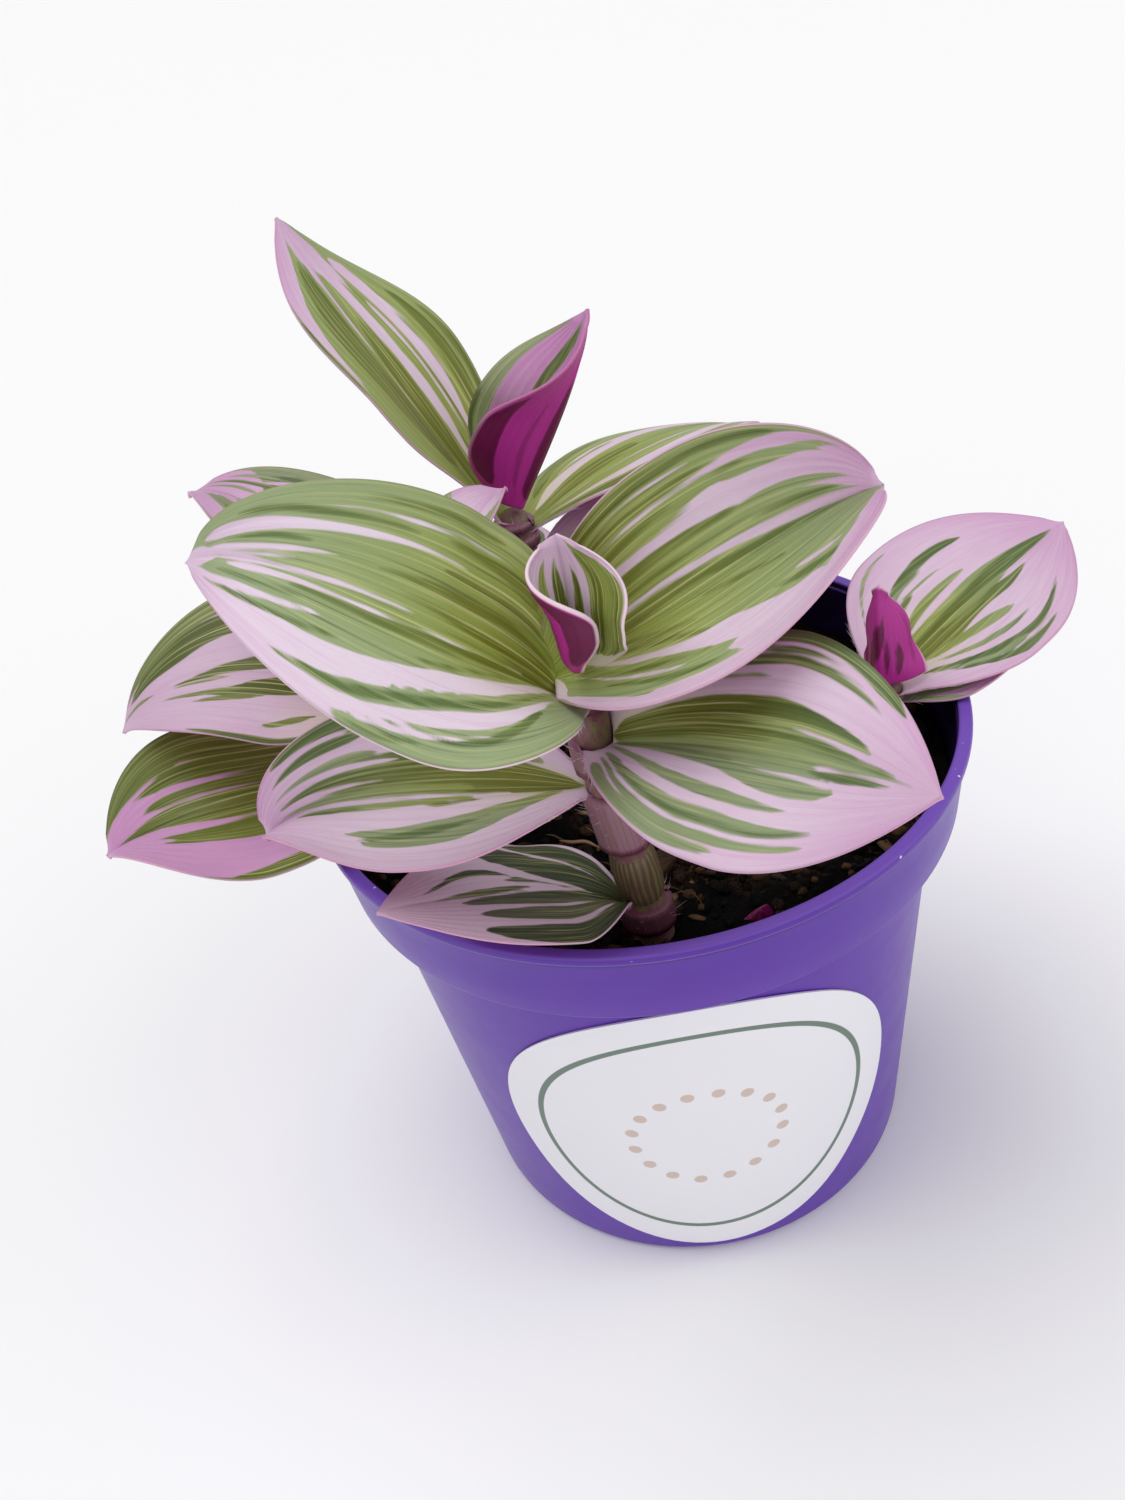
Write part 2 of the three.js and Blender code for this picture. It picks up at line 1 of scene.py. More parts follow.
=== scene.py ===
# Potted tradescantia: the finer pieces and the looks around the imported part.
# Shapes are worked out in millimetres from the same named values as the part, +Z up, label to -Y.
import math
import random

import bpy
import numpy as np
from mathutils import Matrix, Vector, noise


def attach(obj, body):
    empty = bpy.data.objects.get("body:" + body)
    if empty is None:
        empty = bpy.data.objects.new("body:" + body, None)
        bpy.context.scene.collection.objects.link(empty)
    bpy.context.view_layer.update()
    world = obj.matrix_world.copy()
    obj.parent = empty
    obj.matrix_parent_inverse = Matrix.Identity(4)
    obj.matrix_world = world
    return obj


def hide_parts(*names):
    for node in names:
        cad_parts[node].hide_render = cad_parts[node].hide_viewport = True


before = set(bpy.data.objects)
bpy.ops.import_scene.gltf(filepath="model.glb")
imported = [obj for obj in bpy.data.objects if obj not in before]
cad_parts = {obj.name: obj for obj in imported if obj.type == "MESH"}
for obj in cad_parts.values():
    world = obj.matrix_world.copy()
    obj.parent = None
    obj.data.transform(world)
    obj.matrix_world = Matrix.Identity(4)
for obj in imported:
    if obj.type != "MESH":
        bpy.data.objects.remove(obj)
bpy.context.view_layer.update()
MM = 0.001
GAP = 0.3

# The photo's camera: its distance from the plant's axis, the height of the point at which it looks,
# its angles in degrees, its step aside, its focal length in pixels of the 1125 x 1500 photo, and the
# nearest that it sees, in metres
CAMERA = {
    "distance": 183.21, "target": 70.37, "elevation": 36.62, "azimuth": 2.7, "roll": -11.96,
    "aside": -10.59, "focal": 1300, "photo_height": 1500, "sensor": 36,
    "nearest": 0.005,
}

POT = {
    "sides": 180, "height": 76, "wall": 1.2, "floor": 1.6,
    "base_radius": 34.4, "base_chamfer": 1, "body_top_radius": 40.2,
    "collar_height": 12, "collar_foot_radius": 43.4, "collar_top_radius": 44.4,
    "rim_radius": 45, "bead_height": 1.6,
    "drain_count": 8, "drain_radius": 3, "drain_circle": 24, "drain_sides": 48,
    "rounding": 0.5, "round_points": 4, "longest_face": 4,
}
POT["step_height"] = POT["height"] - POT["collar_height"]
POT["bead_foot"] = POT["height"] - POT["bead_height"]
POT["floor_edge"] = POT["drain_circle"] + POT["drain_radius"] + 2
SHARP_EDGE = 50

LABEL = {
    "radius": 29, "height": 31.7, "low": 0.05, "high": 0.3, "rings": 30, "sides": 120,
    "flat_radius": 22, "wave": 0.05, "ring_radius": 23.6, "wreath_radius": 10.5, "dots": 16,
}

SOIL = {
    "level": 67, "relief": 0.6, "calm_centre": 12, "calm_edge": 8, "rings": 120, "sides": 220,
    "waves": [(3, 0.31, 0, 1), (5, -0.53, 0, 0.7), (8, 0.9, 1, 0.6)],
    "chips": 18, "chip_length": 4.6, "chip_width": 2.8, "chip_thickness": 1.6, "chip_margin": 5,
    "chip_tilt": 0.5, "chip_smallest": 0.6, "chip_largest": 1.2, "seed": 7,
    "crumbs": 1500, "slivers": 110, "fibres": 90,
    "unevenness": ((0.16, 0.8), (0.4, 0.5), (0.95, 0.35), (2.1, 0.18)),
    "crumb_size": 1.15, "crumb_stretch": (1, 0.85, 0.7),
    "sliver_size": (0.5, 1.3), "sliver_stretch": (2.2, 0.8, 0.35),
}

STEM = {
    "sides": 28, "foot": 2.6, "top": 1.9, "lowest": 66, "highest": 113, "ring_spacing": 0.8,
    "dome": 1.6, "dome_rings": 8, "swelling": 0.16, "swelling_reach": 0.9, "ribs": 7, "rib_height": 0.05,
}
STEM_ENDS = {"front": 109.3, "left": 101.8, "back": 100.5, "right": 78.3}
OLD_SHEATH = {
    "shoot": "front", "bottom": 74.6, "top": 83.4, "bulge": 0.5, "sides": 168, "rows": 22, "ribs": 24,
}
SHOOTS = {
    "front": [(-2.5, -31, 42), (-2.5, -31.5, 66), (-3.5, -34, 82), (-5, -36.5, 98), (-5.2, -38.8, 112)],
    "left": [(-26, -8, 44), (-26.5, -8, 66), (-27, -9, 80), (-25.5, -8.5, 91), (-23.5, -8, 102)],
    "back": [(-9, 25, 44), (-9.5, 24.5, 66), (-10.5, 22, 85), (-11.5, 20, 100.5)],
    "right": [(32, 1, 50), (32.5, 0.5, 62), (33, -2, 70), (34, -5, 78.5)],
}

# How finely a blade is divided, its half thickness at the midrib and at the margin, its keel and its tip
BLADE = {"along": 112, "across": 52, "middle": 0.28, "margin": 0.14, "keel": 0.12, "tip_half_width": 0.1}
FORM = {
    "widening": 2.2, "settled": 0.35, "turning": 0.45, "bend_power": 1.3, "droop_power": 4, "folds": 2.4,
}
SHEATH = {"lift": 0.55, "row_spacing": 0.7, "throat_rows": 7, "wrap": 176, "ribs": 40, "rib_height": 0.04}
RELIEF = {
    "pleats": 9, "pleat": 0.05, "crowding": 0.9, "groove": 0.16, "groove_width": 0.35, "groove_end": 0.8,
    "ripples": 9, "ripple": 0.22, "calm_base": 0.12, "calm_tip": 0.85,
}

# Each leaf's values, as in the part: angles in degrees and lengths in millimetres
LEAF_FIELDS = (
    "shoot", "z", "reach", "sheath", "heading", "sweep", "rise", "bend", "droop", "roll", "twist",
    "length", "width", "widest", "base", "tip",
    "fold_base", "fold", "fold_tip", "curl_base", "curl", "skew",
    "opening",
)
LEAVES = {
    "front_leaf_1": ("front", 73, 2.5, 4, 196, 10, 36, 19, 0, 4, -4,
                     32, 21, 0.4, 0.12, 2.2, 25, 11, 4, 20, -15, 0),
    "front_leaf_2": ("front", 93.5, 2.5, 9, 172, -11, 1, 0, 50, -32, -8,
                     41, 24, 0.42, 0.15, 2.3, 25, 18, 42, 25, 35, 0),
    "front_leaf_3": ("front", 101.5, 3, 4.5, -46, -10, 22, 17, -10, 33, 3,
                     40.3, 23.5, 0.52, 0.4, 1.8, 20, 16, -2, 30, -15, 0),
    "front_leaf_4": ("front", 108, 2.6, 1.5, 207, -66, 53, 32, 50, -30, -12,
                     43, 27, 0.3, 0.3, 1.9, 25, 1, 15, 10, 5, 0),
    "front_leaf_5": ("front", 110.3, -2.6, 0, -8, 28, 24, -5, 35, 41, -4,
                     37, 26.5, 0.48, 0.25, 3, 20, 19, 36, 20, 35, 0),
    "front_leaf_6": ("front", 112.5, -1.2, 0, 88, -12, 84, 3, 0, 0, -4,
                     13.4, 18, 0.56, 0.3, 1.9, 20, 35, 15, 95, 100, 75, 0.65),
    "left_leaf_1": ("left", 73, 2.5, 3, 100, 0, 35, 30, 10, 0, 0,
                    34, 20, 0.42, 0.25, 2, 20, 8, 8, 15, -10, 0),
    "left_leaf_2": ("left", 81, 2.5, 6, 187, -2, 7, 15, 15, -14, -1,
                    42, 26.5, 0.56, 0.25, 2.6, 20, -3, 38, 20, 10, 0),
    "left_leaf_3": ("left", 90, 2.5, 6, 163, 12, 28, 58, 25, -21, 3,
                    44, 27, 0.36, 0.25, 1.8, 20, 15, 7, 20, 0, 0),
    "left_leaf_4": ("left", 97, 2.5, 3, 129, 8, 36, 33, 30, 3, 0,
                    47, 23.5, 0.36, 0.25, 1.4, 20, 15, 18, 20, 5, 0),
    "left_leaf_5": ("left", 102, 1, 2, 49, 8, 34, 21, 25, -8, 11,
                    21.5, 12.5, 0.44, 0.25, 2.2, 40, 23, 27, 20, 20, 0),
    "back_leaf_1": ("back", 84, 2.4, 5, 115, 0, 8, 35, 10, 0, 0,
                    36, 22, 0.42, 0.25, 2, 20, 8, 8, 15, -10, 0),
    "back_leaf_2": ("back", 90, 2.4, 3.5, -8, 0, 25, 35, 10, 5, 0,
                    40, 22, 0.42, 0.25, 2, 20, 8, 8, 15, -10, 0),
    "back_leaf_3": ("back", 96.5, 2.4, 1.6, 36, -3, 13, 39, 5, -10, -3,
                    48, 25.5, 0.44, 0.2, 1.9, 5, 9, 11, 10, -15, 0),
    "back_leaf_4": ("back", 99, 2.2, 1.2, 154, -8, 62, 6, -5, 8, -1,
                    48.5, 27, 0.46, 0.25, 2.2, 20, 22, -3, 15, -10, 0),
    "back_leaf_5": ("back", 101, 1.5, 0, -16, 15, 58, -3, -15, 8, 14,
                    29.5, 23, 0.38, 0.28, 2.1, 62, 64, 19, 35, 10, 0),
    "right_leaf_1": ("right", 70.7, 2.4, 1.8, 165, 0, 40, 35, 10, 0, 0,
                     34, 20, 0.42, 0.25, 2, 20, 8, 8, 15, -10, 0),
    "right_leaf_2": ("right", 74, 2.4, 1, 10, 0, 21, 15, 0, 0, 0,
                     22, 17, 0.42, 0.3, 2, 5, 5, 8, 15, 0, 0),
    "right_leaf_3": ("right", 76.5, 2.2, 0.5, 36, -8, 15, 6, -5, 6, 5,
                     36, 30, 0.34, 0.35, 2.3, 10, 15, 23, 10, 0, 0),
    "right_leaf_4": ("right", 78.5, 1.5, 0, 222, 11, 86, -11, -10, 2, 6,
                     15, 13.5, 0.38, 1, 1.8, 30, 31, 41, 35, 70, 10),
}

LEAVES = {name: dict(zip(LEAF_FIELDS, values)) for name, values in LEAVES.items()}

# The stripes of each leaf, laid over each other in turn on a ground of sage or pale. A stripe is
# "deep", "sage" or "pale", then two or more points from the base towards the tip: the share of the
# blade's length, the place across it (100 is the left margin, -100 the right) and half the stripe's
# width, all in hundredths. The number before a leaf's stripes says how pink its pale parts are.
STRIPES = {
    "front_leaf_1": ("pale", 0.1, [
        ("deep", (0, 60, 30), (15, 80, 22), (45, 84, 16), (69, 80, 8)),
        ("sage", (0, 20, 20), (20, 40, 14), (50, 46, 12), (68, 48, 5)),
        ("sage", (0, 0, 20), (20, 6, 16), (50, 13, 14), (71, 20, 5)),
        ("deep", (20, 0, 5), (35, 4, 8), (50, 8, 7), (68, 18, 3)),
        ("sage", (40, -12, 2), (60, -5, 5), (80, 2, 2)),
        ("deep", (0, -40, 40), (25, -58, 40), (55, -75, 12)),
        ("deep", (0, -10, 20), (30, -25, 8), (50, -22, 3)),
        ("pale", (15, -12, 2), (40, -30, 5), (75, -52, 7)),
        ("deep", (46, -30, 3), (62, -42, 6), (82, -20, 3)),
        ("pale", (10, -50, 1), (28, -70, 3), (50, -95, 3)),
    ]),
    "front_leaf_2": ("pale", 0.25, [
        ("sage", (6, 12, 4), (30, 45, 10), (58, 62, 5)),
        ("sage", (6, 8, 4), (35, 34, 7), (64, 50, 4)),
        ("deep", (24, 30, 2), (40, 42, 5), (60, 57, 3)),
        ("deep", (26, 6, 1), (36, 10, 2), (44, 13, 1)),
        ("sage", (30, 3, 2), (50, 8, 4), (83, 14, 5)),
        ("deep", (60, 10, 1), (74, 14, 4), (84, 12, 2)),
        ("deep", (0, -15, 20), (20, -20, 22), (45, -25, 22), (70, -28, 14), (88, -30, 5)),
        ("sage", (30, -8, 4), (60, -7, 6), (90, -10, 3)),
        ("pale", (20, 0, 1), (50, -2, 1.5), (80, -2, 2)),
        ("pale", (55, -20, 1), (72, -20, 3), (95, -20, 8)),
        ("pale", (50, -38, 1), (70, -40, 4), (92, -40, 10)),
        ("sage", (55, -48, 4), (70, -50, 6), (87, -50, 3)),
        ("pale", (50, -56, 2), (70, -58, 4), (95, -60, 10)),
        ("deep", (58, -70, 5), (72, -72, 7), (85, -74, 3)),
        ("sage", (10, -50, 8), (40, -70, 12), (62, -78, 4)),
        ("deep", (40, -85, 8), (66, -95, 12), (82, -96, 5)),
    ]),
    "front_leaf_3": ("pale", 0.3, [
        ("deep", (25, 98, 8), (50, 95, 12), (70, 94, 12), (83, 92, 5)),
        ("pale", (45, 88, 1), (58, 88, 2), (76, 82, 2)),
        ("deep", (30, 72, 3), (52, 76, 5), (66, 74, 4), (78, 70, 2)),
        ("sage", (30, 60, 1), (42, 62, 2), (50, 60, 1)),
        ("sage", (0, 16, 20), (20, 19, 23), (40, 16, 28), (70, 18, 18), (80, 26, 7)),
        ("deep", (0, 20, 20), (20, 25, 19), (40, 33, 13), (55, 36, 9), (68, 34, 5), (79, 30, 3)),
        ("deep", (2, 12, 8), (30, 14, 6), (50, 15, 4.5), (65, 14, 4), (88, 12, 3)),
        ("pale", (58, 24, 0.6), (70, 22, 2), (84, 20, 5)),
        ("sage", (50, 4, 10), (70, 4, 6), (85, 4, 5), (93, 3, 3)),
        ("sage", (0, 0, 8), (20, -3, 11), (40, -6, 15), (60, -14, 20), (75, -26, 8)),
        ("deep", (0, 0, 4), (15, -6, 3), (30, -9, 2), (44, -11, 1)),
        ("pale", (66, -2, 1), (80, -2, 3), (95, -2, 6)),
        ("deep", (66, -9, 3), (78, -9, 5), (88, -8, 3)),
        ("pale", (48, -14, 0.6), (62, -16, 1.6), (76, -20, 5)),
        ("sage", (0, -14, 4), (15, -30, 5.5), (30, -38, 5.5), (45, -42, 5), (66, -47, 2)),
        ("sage", (0, -34, 8), (12, -54, 8), (30, -62, 7.5), (50, -64, 7), (74, -68, 2.5)),
        ("deep", (4, -46, 1.5), (15, -59, 2), (30, -65, 2), (50, -67, 2), (70, -69, 1)),
        ("sage", (0, -52, 5), (12, -72, 5), (30, -79, 4.5), (55, -79, 4), (73, -81, 2)),
        ("sage", (0, -80, 16), (12, -89, 9), (30, -90, 6), (52, -89, 3)),
    ]),
    "front_leaf_4": ("sage", 0.1, [
        ("deep", (12, 52, 6), (20, 72, 5), (32, 80, 3)),
        ("pale", (50, 100, 2), (62, 95, 10), (80, 90, 30), (100, 85, 30)),
        ("pale", (7, 34, 3), (20, 56, 7), (30, 63, 7), (40, 73, 5), (55, 88, 8), (75, 90, 20)),
        ("pale", (22, 72, 1), (32, 79, 2), (50, 90, 2.5)),
        ("deep", (34, 86, 1), (42, 94, 3), (51, 95, 1.5)),
        ("pale", (5, 12, 3), (10, 16, 5), (20, 27, 6), (30, 34, 8), (45, 49, 10), (60, 62, 13),
         (75, 72, 20), (100, 70, 30)),
        ("deep", (8, 24, 2), (20, 42, 3), (30, 50, 4), (40, 60, 4), (52, 73, 4), (60, 77, 3),
         (70, 83, 1)),
        ("sage", (14, 31, 1), (30, 42, 1.5), (43, 54, 1)),
        ("deep", (14, 12, 1), (28, 20, 1.5), (42, 30, 1)),
        ("deep", (0, 0, 10), (20, 6, 6), (45, 12, 4), (70, 14, 3)),
        ("pale", (14, 0, 0.6), (35, 4, 1), (55, 8, 1.4), (70, 9, 3), (85, 14, 6)),
        ("deep", (2, -10, 12), (20, -10, 5), (36, -14, 3), (50, -14, 1)),
        ("deep", (6, -24, 6), (20, -30, 5), (36, -30, 5), (54, -28, 2)),
        ("deep", (10, -44, 5), (24, -46, 4), (40, -46, 2)),
        ("deep", (14, -64, 8), (25, -68, 5), (42, -68, 2)),
        ("deep", (56, 40, 2), (70, 50, 3), (82, 58, 4), (90, 64, 6)),
        ("pale", (60, 28, 1.2), (70, 36, 3), (80, 44, 6), (92, 60, 10)),
        ("deep", (66, 22, 2), (76, 26, 3), (87, 30, 3)),
        ("pale", (42, -5, 1), (60, -4, 2), (72, -2, 3), (90, 0, 6)),
        ("pale", (62, -27, 1.4), (72, -24, 3), (82, -20, 5), (92, -20, 10)),
        ("pale", (70, -14, 1), (80, -10, 3), (92, -6, 6)),
        ("deep", (68, -36, 2), (78, -36, 3), (86, -32, 2)),
        ("pale", (32, -56, 0.8), (50, -54, 2.4), (65, -52, 4.5), (80, -53, 10), (92, -54, 16)),
        ("deep", (48, -64, 2), (66, -66, 3), (84, -76, 5)),
        ("pale", (20, -75, 0.8), (32, -76, 1.4), (50, -73, 1.4), (68, -72, 1)),
        ("deep", (26, -90, 3), (45, -87, 3), (64, -82, 1.5)),
        ("pale", (88, 0, 10), (100, 0, 90)),
    ]),
    "front_leaf_5": ("sage", 0.3, [
        ("deep", (20, 95, 6), (45, 92, 5), (60, 92, 3), (78, 92, 4)),
        ("deep", (15, 75, 5), (30, 78, 4), (45, 76, 3), (65, 79, 2)),
        ("pale", (25, 68, 0.8), (45, 70, 1.5), (65, 74, 3), (80, 84, 8), (100, 80, 20)),
        ("pale", (28, 86, 0.6), (45, 85, 1), (60, 84, 0.6)),
        ("deep", (26, 60, 3), (40, 62, 2.5), (52, 64, 1)),
        ("deep", (60, 66, 1), (70, 68, 3), (80, 66, 2)),
        ("pale", (18, 48, 3), (30, 47, 3.5), (40, 47, 4), (50, 49, 7), (60, 50, 10), (70, 49, 13),
         (80, 50, 18), (100, 50, 40)),
        ("sage", (36, 52, 1), (46, 52, 2), (56, 53, 1)),
        ("deep", (15, 36, 5), (30, 39, 4), (45, 39, 3.5), (65, 37, 2)),
        ("deep", (20, 27, 2), (34, 28, 2), (50, 26, 1)),
        ("deep", (66, 24, 1), (78, 23, 3), (88, 22, 3)),
        ("pale", (22, 18, 2), (40, 18, 2.5), (55, 16, 2.5), (70, 12, 4), (85, 10, 6),
         (100, 10, 10)),
        ("deep", (5, 2, 10), (25, 8, 6), (45, 10, 4), (60, 5, 3.5), (80, 2, 3), (97, 0, 2)),
        ("deep", (6, -8, 6), (20, -12, 5), (32, -18, 3), (42, -24, 1)),
        ("deep", (14, -14, 2), (26, -22, 2.5), (36, -31, 3), (45, -42, 2)),
        ("deep", (42, -6, 1), (56, -12, 2), (68, -20, 1)),
        ("pale", (8, -12, 2), (20, -30, 3.5), (30, -38, 4), (40, -47, 8), (50, -55, 13),
         (60, -66, 13), (75, -85, 15)),
        ("deep", (16, -40, 2), (28, -50, 2.5), (42, -58, 1)),
        ("pale", (3, -25, 1.4), (15, -46, 1.8), (30, -60, 2), (36, -64, 1)),
        ("deep", (14, -56, 2), (28, -68, 3), (38, -74, 3), (45, -76, 1)),
        ("pale", (44, -70, 2), (52, -78, 14), (60, -84, 20)),
        ("deep", (60, -42, 3), (70, -56, 4.5), (80, -68, 4)),
        ("pale", (66, -40, 1), (74, -48, 3), (80, -54, 2)),
        ("pale", (2, -86, 12), (30, -92, 12), (60, -93, 14), (100, -70, 30)),
        ("sage", (62, 60, 2), (78, 70, 6), (90, 90, 3)),
        ("sage", (62, 34, 3), (78, 36, 6), (92, 40, 2)),
        ("sage", (6, -70, 2), (20, -78, 3), (28, -84, 1)),
        ("pale", (-10, -55, 50), (3.5, -60, 50)),
    ]),
    "front_leaf_6": ("pale", 0.25, [
        ("sage", (10, 40, 10), (55, 38, 12), (85, 35, 5)),
        ("deep", (10, 9, 9), (55, 9, 9), (84, 12, 3)),
        ("deep", (10, -20, 7), (55, -21, 6), (80, -20, 2)),
        ("sage", (10, -68, 30), (50, -68, 29), (75, -66, 26), (97, -50, 10)),
        ("deep", (10, -50, 10), (50, -52, 9), (75, -50, 6), (90, -45, 3)),
        ("deep", (10, -84, 6), (50, -84, 5), (80, -80, 3)),
        ("deep", (10, 80, 16), (50, 80, 16), (80, 75, 10)),
    ]),
    "left_leaf_2": ("sage", 1.3, [
        ("deep", (0, 0, 110), (50, 0, 110), (100, 0, 110)),
        ("pale", (10, 40, 6), (40, 66, 20), (70, 72, 30), (100, 60, 50)),
        ("deep", (20, 90, 6), (42, 92, 9), (58, 98, 3)),
        ("deep", (20, 20, 6), (55, 36, 6), (77, 46, 3)),
        ("pale", (45, 18, 2), (65, 20, 5), (100, 20, 30)),
        ("deep", (10, 0, 15), (55, 3, 15), (80, 3, 6)),
        ("pale", (45, -19, 1), (65, -20, 2), (85, -22, 6), (100, -30, 30)),
        ("pale", (45, -37, 1), (65, -36, 3), (84, -40, 10), (100, -40, 50)),
        ("deep", (30, -46, 3), (50, -53, 6), (70, -55, 3)),
        ("deep", (66, -47, 1), (73, -46, 2), (79, -42, 1)),
        ("pale", (40, -64, 1), (58, -65, 1.5), (72, -62, 1)),
        ("deep", (20, -75, 12), (50, -80, 16), (75, -80, 16), (90, -76, 4)),
        ("pale", (76, -60, 2), (84, -58, 3), (95, -60, 10)),
    ]),
    "left_leaf_3": ("pale", 0.5, [
        ("deep", (15, 100, 8), (35, 98, 6), (62, 96, 2)),
        ("sage", (22, 60, 2), (30, 70, 5), (38, 80, 2)),
        ("deep", (15, 10, 10), (42, 26, 12), (52, 34, 6), (60, 40, 2)),
        ("sage", (40, 38, 3), (52, 45, 4), (63, 50, 2)),
        ("sage", (48, 30, 3), (60, 36, 4), (76, 37, 2)),
        ("deep", (15, -10, 8), (50, -5, 7), (60, 2, 7), (73, 10, 3)),
        ("sage", (52, 10, 2), (62, 14, 3), (72, 14, 2)),
        ("deep", (15, -60, 20), (58, -56, 14), (75, -55, 25), (92, -50, 12)),
        ("sage", (40, -95, 16), (66, -92, 20), (84, -90, 20), (94, -84, 6)),
        ("sage", (80, 3, 1), (88, -6, 5), (98, -20, 8)),
    ]),
    "left_leaf_4": ("sage", 0.7, [
        ("deep", (30, -50, 20), (60, -60, 25), (78, -50, 10)),
        ("pale", (40, -70, 2), (62, -66, 4), (80, -35, 6), (100, -30, 40)),
        ("pale", (30, 60, 10), (60, 80, 15), (100, 70, 35)),
        ("pale", (10, 10, 3), (50, 20, 6), (80, 20, 6)),
        ("pale", (10, -20, 2), (50, -30, 4), (70, -25, 2)),
        ("deep", (10, 40, 5), (50, 50, 7), (70, 50, 3)),
        ("pale", (66, -20, 10), (80, -30, 70), (100, -20, 120)),
        ("deep", (64, -46, 5), (80, -50, 5), (91, -56, 2)),
        ("sage", (68, -26, 3), (80, -30, 5), (90, -30, 2)),
        ("sage", (66, -68, 4), (78, -70, 5), (85, -70, 2)),
        ("sage", (50, -95, 14), (74, -97, 10), (84, -98, 4)),
        ("sage", (70, 0, 3), (82, 4, 5), (90, 6, 2)),
    ]),
    "left_leaf_5": ("sage", 0.3, [
        ("deep", (10, 30, 10), (50, 40, 10), (70, 40, 3)),
        ("deep", (10, -40, 10), (50, -50, 10), (70, -45, 4)),
        ("pale", (10, 0, 2), (40, 5, 10), (60, 0, 40), (75, 0, 100), (100, 0, 120)),
    ]),
    "back_leaf_3": ("sage", 0.3, [
        ("deep", (2, 18, 12), (25, 18, 14), (50, 20, 6)),
        ("pale", (6, 38, 8), (25, 50, 13), (60, 55, 14), (100, 50, 30)),
        ("sage", (12, 60, 2), (30, 58, 3), (50, 60, 2)),
        ("deep", (10, 70, 10), (25, 85, 10), (50, 90, 4)),
        ("pale", (10, -10, 1), (40, -14, 2), (90, -10, 6)),
        ("pale", (6, -35, 4), (30, -50, 9), (70, -50, 12), (100, -50, 30)),
        ("deep", (2, -60, 10), (30, -75, 10), (60, -75, 5)),
        ("pale", (10, -90, 6), (40, -97, 5), (80, -95, 10)),
    ]),
    "back_leaf_4": ("sage", 0.25, [
        ("pale", (50, 92, 1), (60, 88, 4), (75, 84, 12), (88, 80, 30), (100, 75, 40)),
        ("deep", (50, 100, 4), (62, 100, 7), (74, 100, 5)),
        ("deep", (20, 30, 20), (60, 42, 22), (80, 36, 14), (88, 34, 5)),
        ("pale", (30, 14, 0.5), (66, 8, 3), (82, 8, 7), (100, 10, 40)),
        ("deep", (8, -6, 8), (30, -7, 9), (55, -8, 7), (68, -8, 2)),
        ("pale", (16, -20, 2), (35, -24, 6), (60, -22, 6), (80, -24, 16), (100, -20, 50)),
        ("sage", (20, -30, 2), (45, -33, 3), (68, -31, 3), (79, -30, 1.5)),
        ("pale", (20, -36, 0.5), (40, -39, 1.5), (70, -38, 2)),
        ("pale", (22, -46, 2), (40, -51, 6), (65, -52, 7), (85, -60, 15)),
        ("pale", (40, -62, 0.5), (55, -63, 1), (72, -62, 1)),
        ("deep", (20, -70, 6), (45, -78, 10), (70, -80, 4)),
        ("deep", (20, -92, 4), (40, -94, 4), (62, -92, 2)),
    ]),
    "back_leaf_5": ("pale", 0.75, [
        ("sage", (10, 90, 10), (40, 92, 14), (75, 92, 10), (94, 90, 6)),
        ("deep", (20, 96, 3), (40, 98, 4), (50, 98, 2)),
        ("deep", (30, 30, 4), (62, 36, 6), (80, 28, 10), (96, 20, 6)),
        ("deep", (5, 0, 14), (40, 0, 12), (70, 0, 5)),
        ("sage", (10, 55, 4), (35, 60, 6), (50, 60, 2)),
        ("deep", (10, -75, 14), (40, -85, 16), (64, -80, 6)),
        ("sage", (10, -30, 4), (40, -33, 4), (60, -30, 2)),
    ]),
    "right_leaf_3": ("pale", 0.4, [
        ("sage", (10, 70, 1.5), (24, 86, 2.5), (42, 93, 1)),
        ("deep", (12, 45, 4), (30, 56, 5), (50, 65, 5), (66, 66, 3)),
        ("sage", (18, 52, 2), (35, 55, 2), (48, 56, 1)),
        ("deep", (12, 36, 3), (28, 42, 3.5), (35, 44, 1.5)),
        ("sage", (30, 46, 1), (40, 46, 1.5), (50, 46, 1)),
        ("sage", (14, 22, 3), (35, 29, 4.5), (56, 31, 2)),
        ("sage", (10, 8, 8), (30, 10, 7), (70, 13, 8), (93, 12, 4)),
        ("deep", (10, 3, 6), (30, 4, 5), (65, 8, 9), (80, 10, 10), (94, 10, 5)),
        ("deep", (6, -6, 8), (25, -9, 11), (50, -10, 10), (62, -16, 7), (74, -15, 2)),
        ("sage", (30, 0, 2), (50, -2, 4), (68, -2, 3)),
        ("sage", (12, -18, 3), (30, -28, 6), (46, -38, 6), (52, -42, 3)),
        ("sage", (14, -30, 2), (28, -48, 4), (42, -57, 3), (54, -60, 1)),
        ("deep", (6, -36, 4), (25, -64, 6), (45, -76, 4), (60, -74, 3), (71, -70, 2)),
        ("sage", (8, -45, 3), (25, -72, 4), (40, -78, 3)),
        ("deep", (12, -60, 3), (30, -86, 5), (42, -88, 3), (56, -87, 1)),
    ]),
    "right_leaf_4": ("pale", 0.7, [
        ("deep", (8, 36, 6), (25, 42, 9), (42, 38, 3)),
        ("deep", (10, 14, 3), (30, 16, 5), (50, 15, 2)),
        ("deep", (10, -20, 12), (30, -10, 12), (50, 2, 10), (72, 10, 3)),
        ("deep", (5, -60, 15), (25, -50, 14), (42, -36, 5)),
        ("deep", (5, -90, 8), (30, -84, 10), (60, -80, 2)),
        ("sage", (10, 75, 5), (40, 75, 6), (70, 70, 3)),
    ]),
}
# Leaves hidden from the photo get stripes at random places in the same manner
RANDOM_STRIPES = {
    "bands": 9, "outermost": 90, "shift": 5, "thin": 2, "thick": 10, "start": (5, 20), "end": (60, 92),
    "pinkness": (0.2, 0.5), "seed": 40,
}

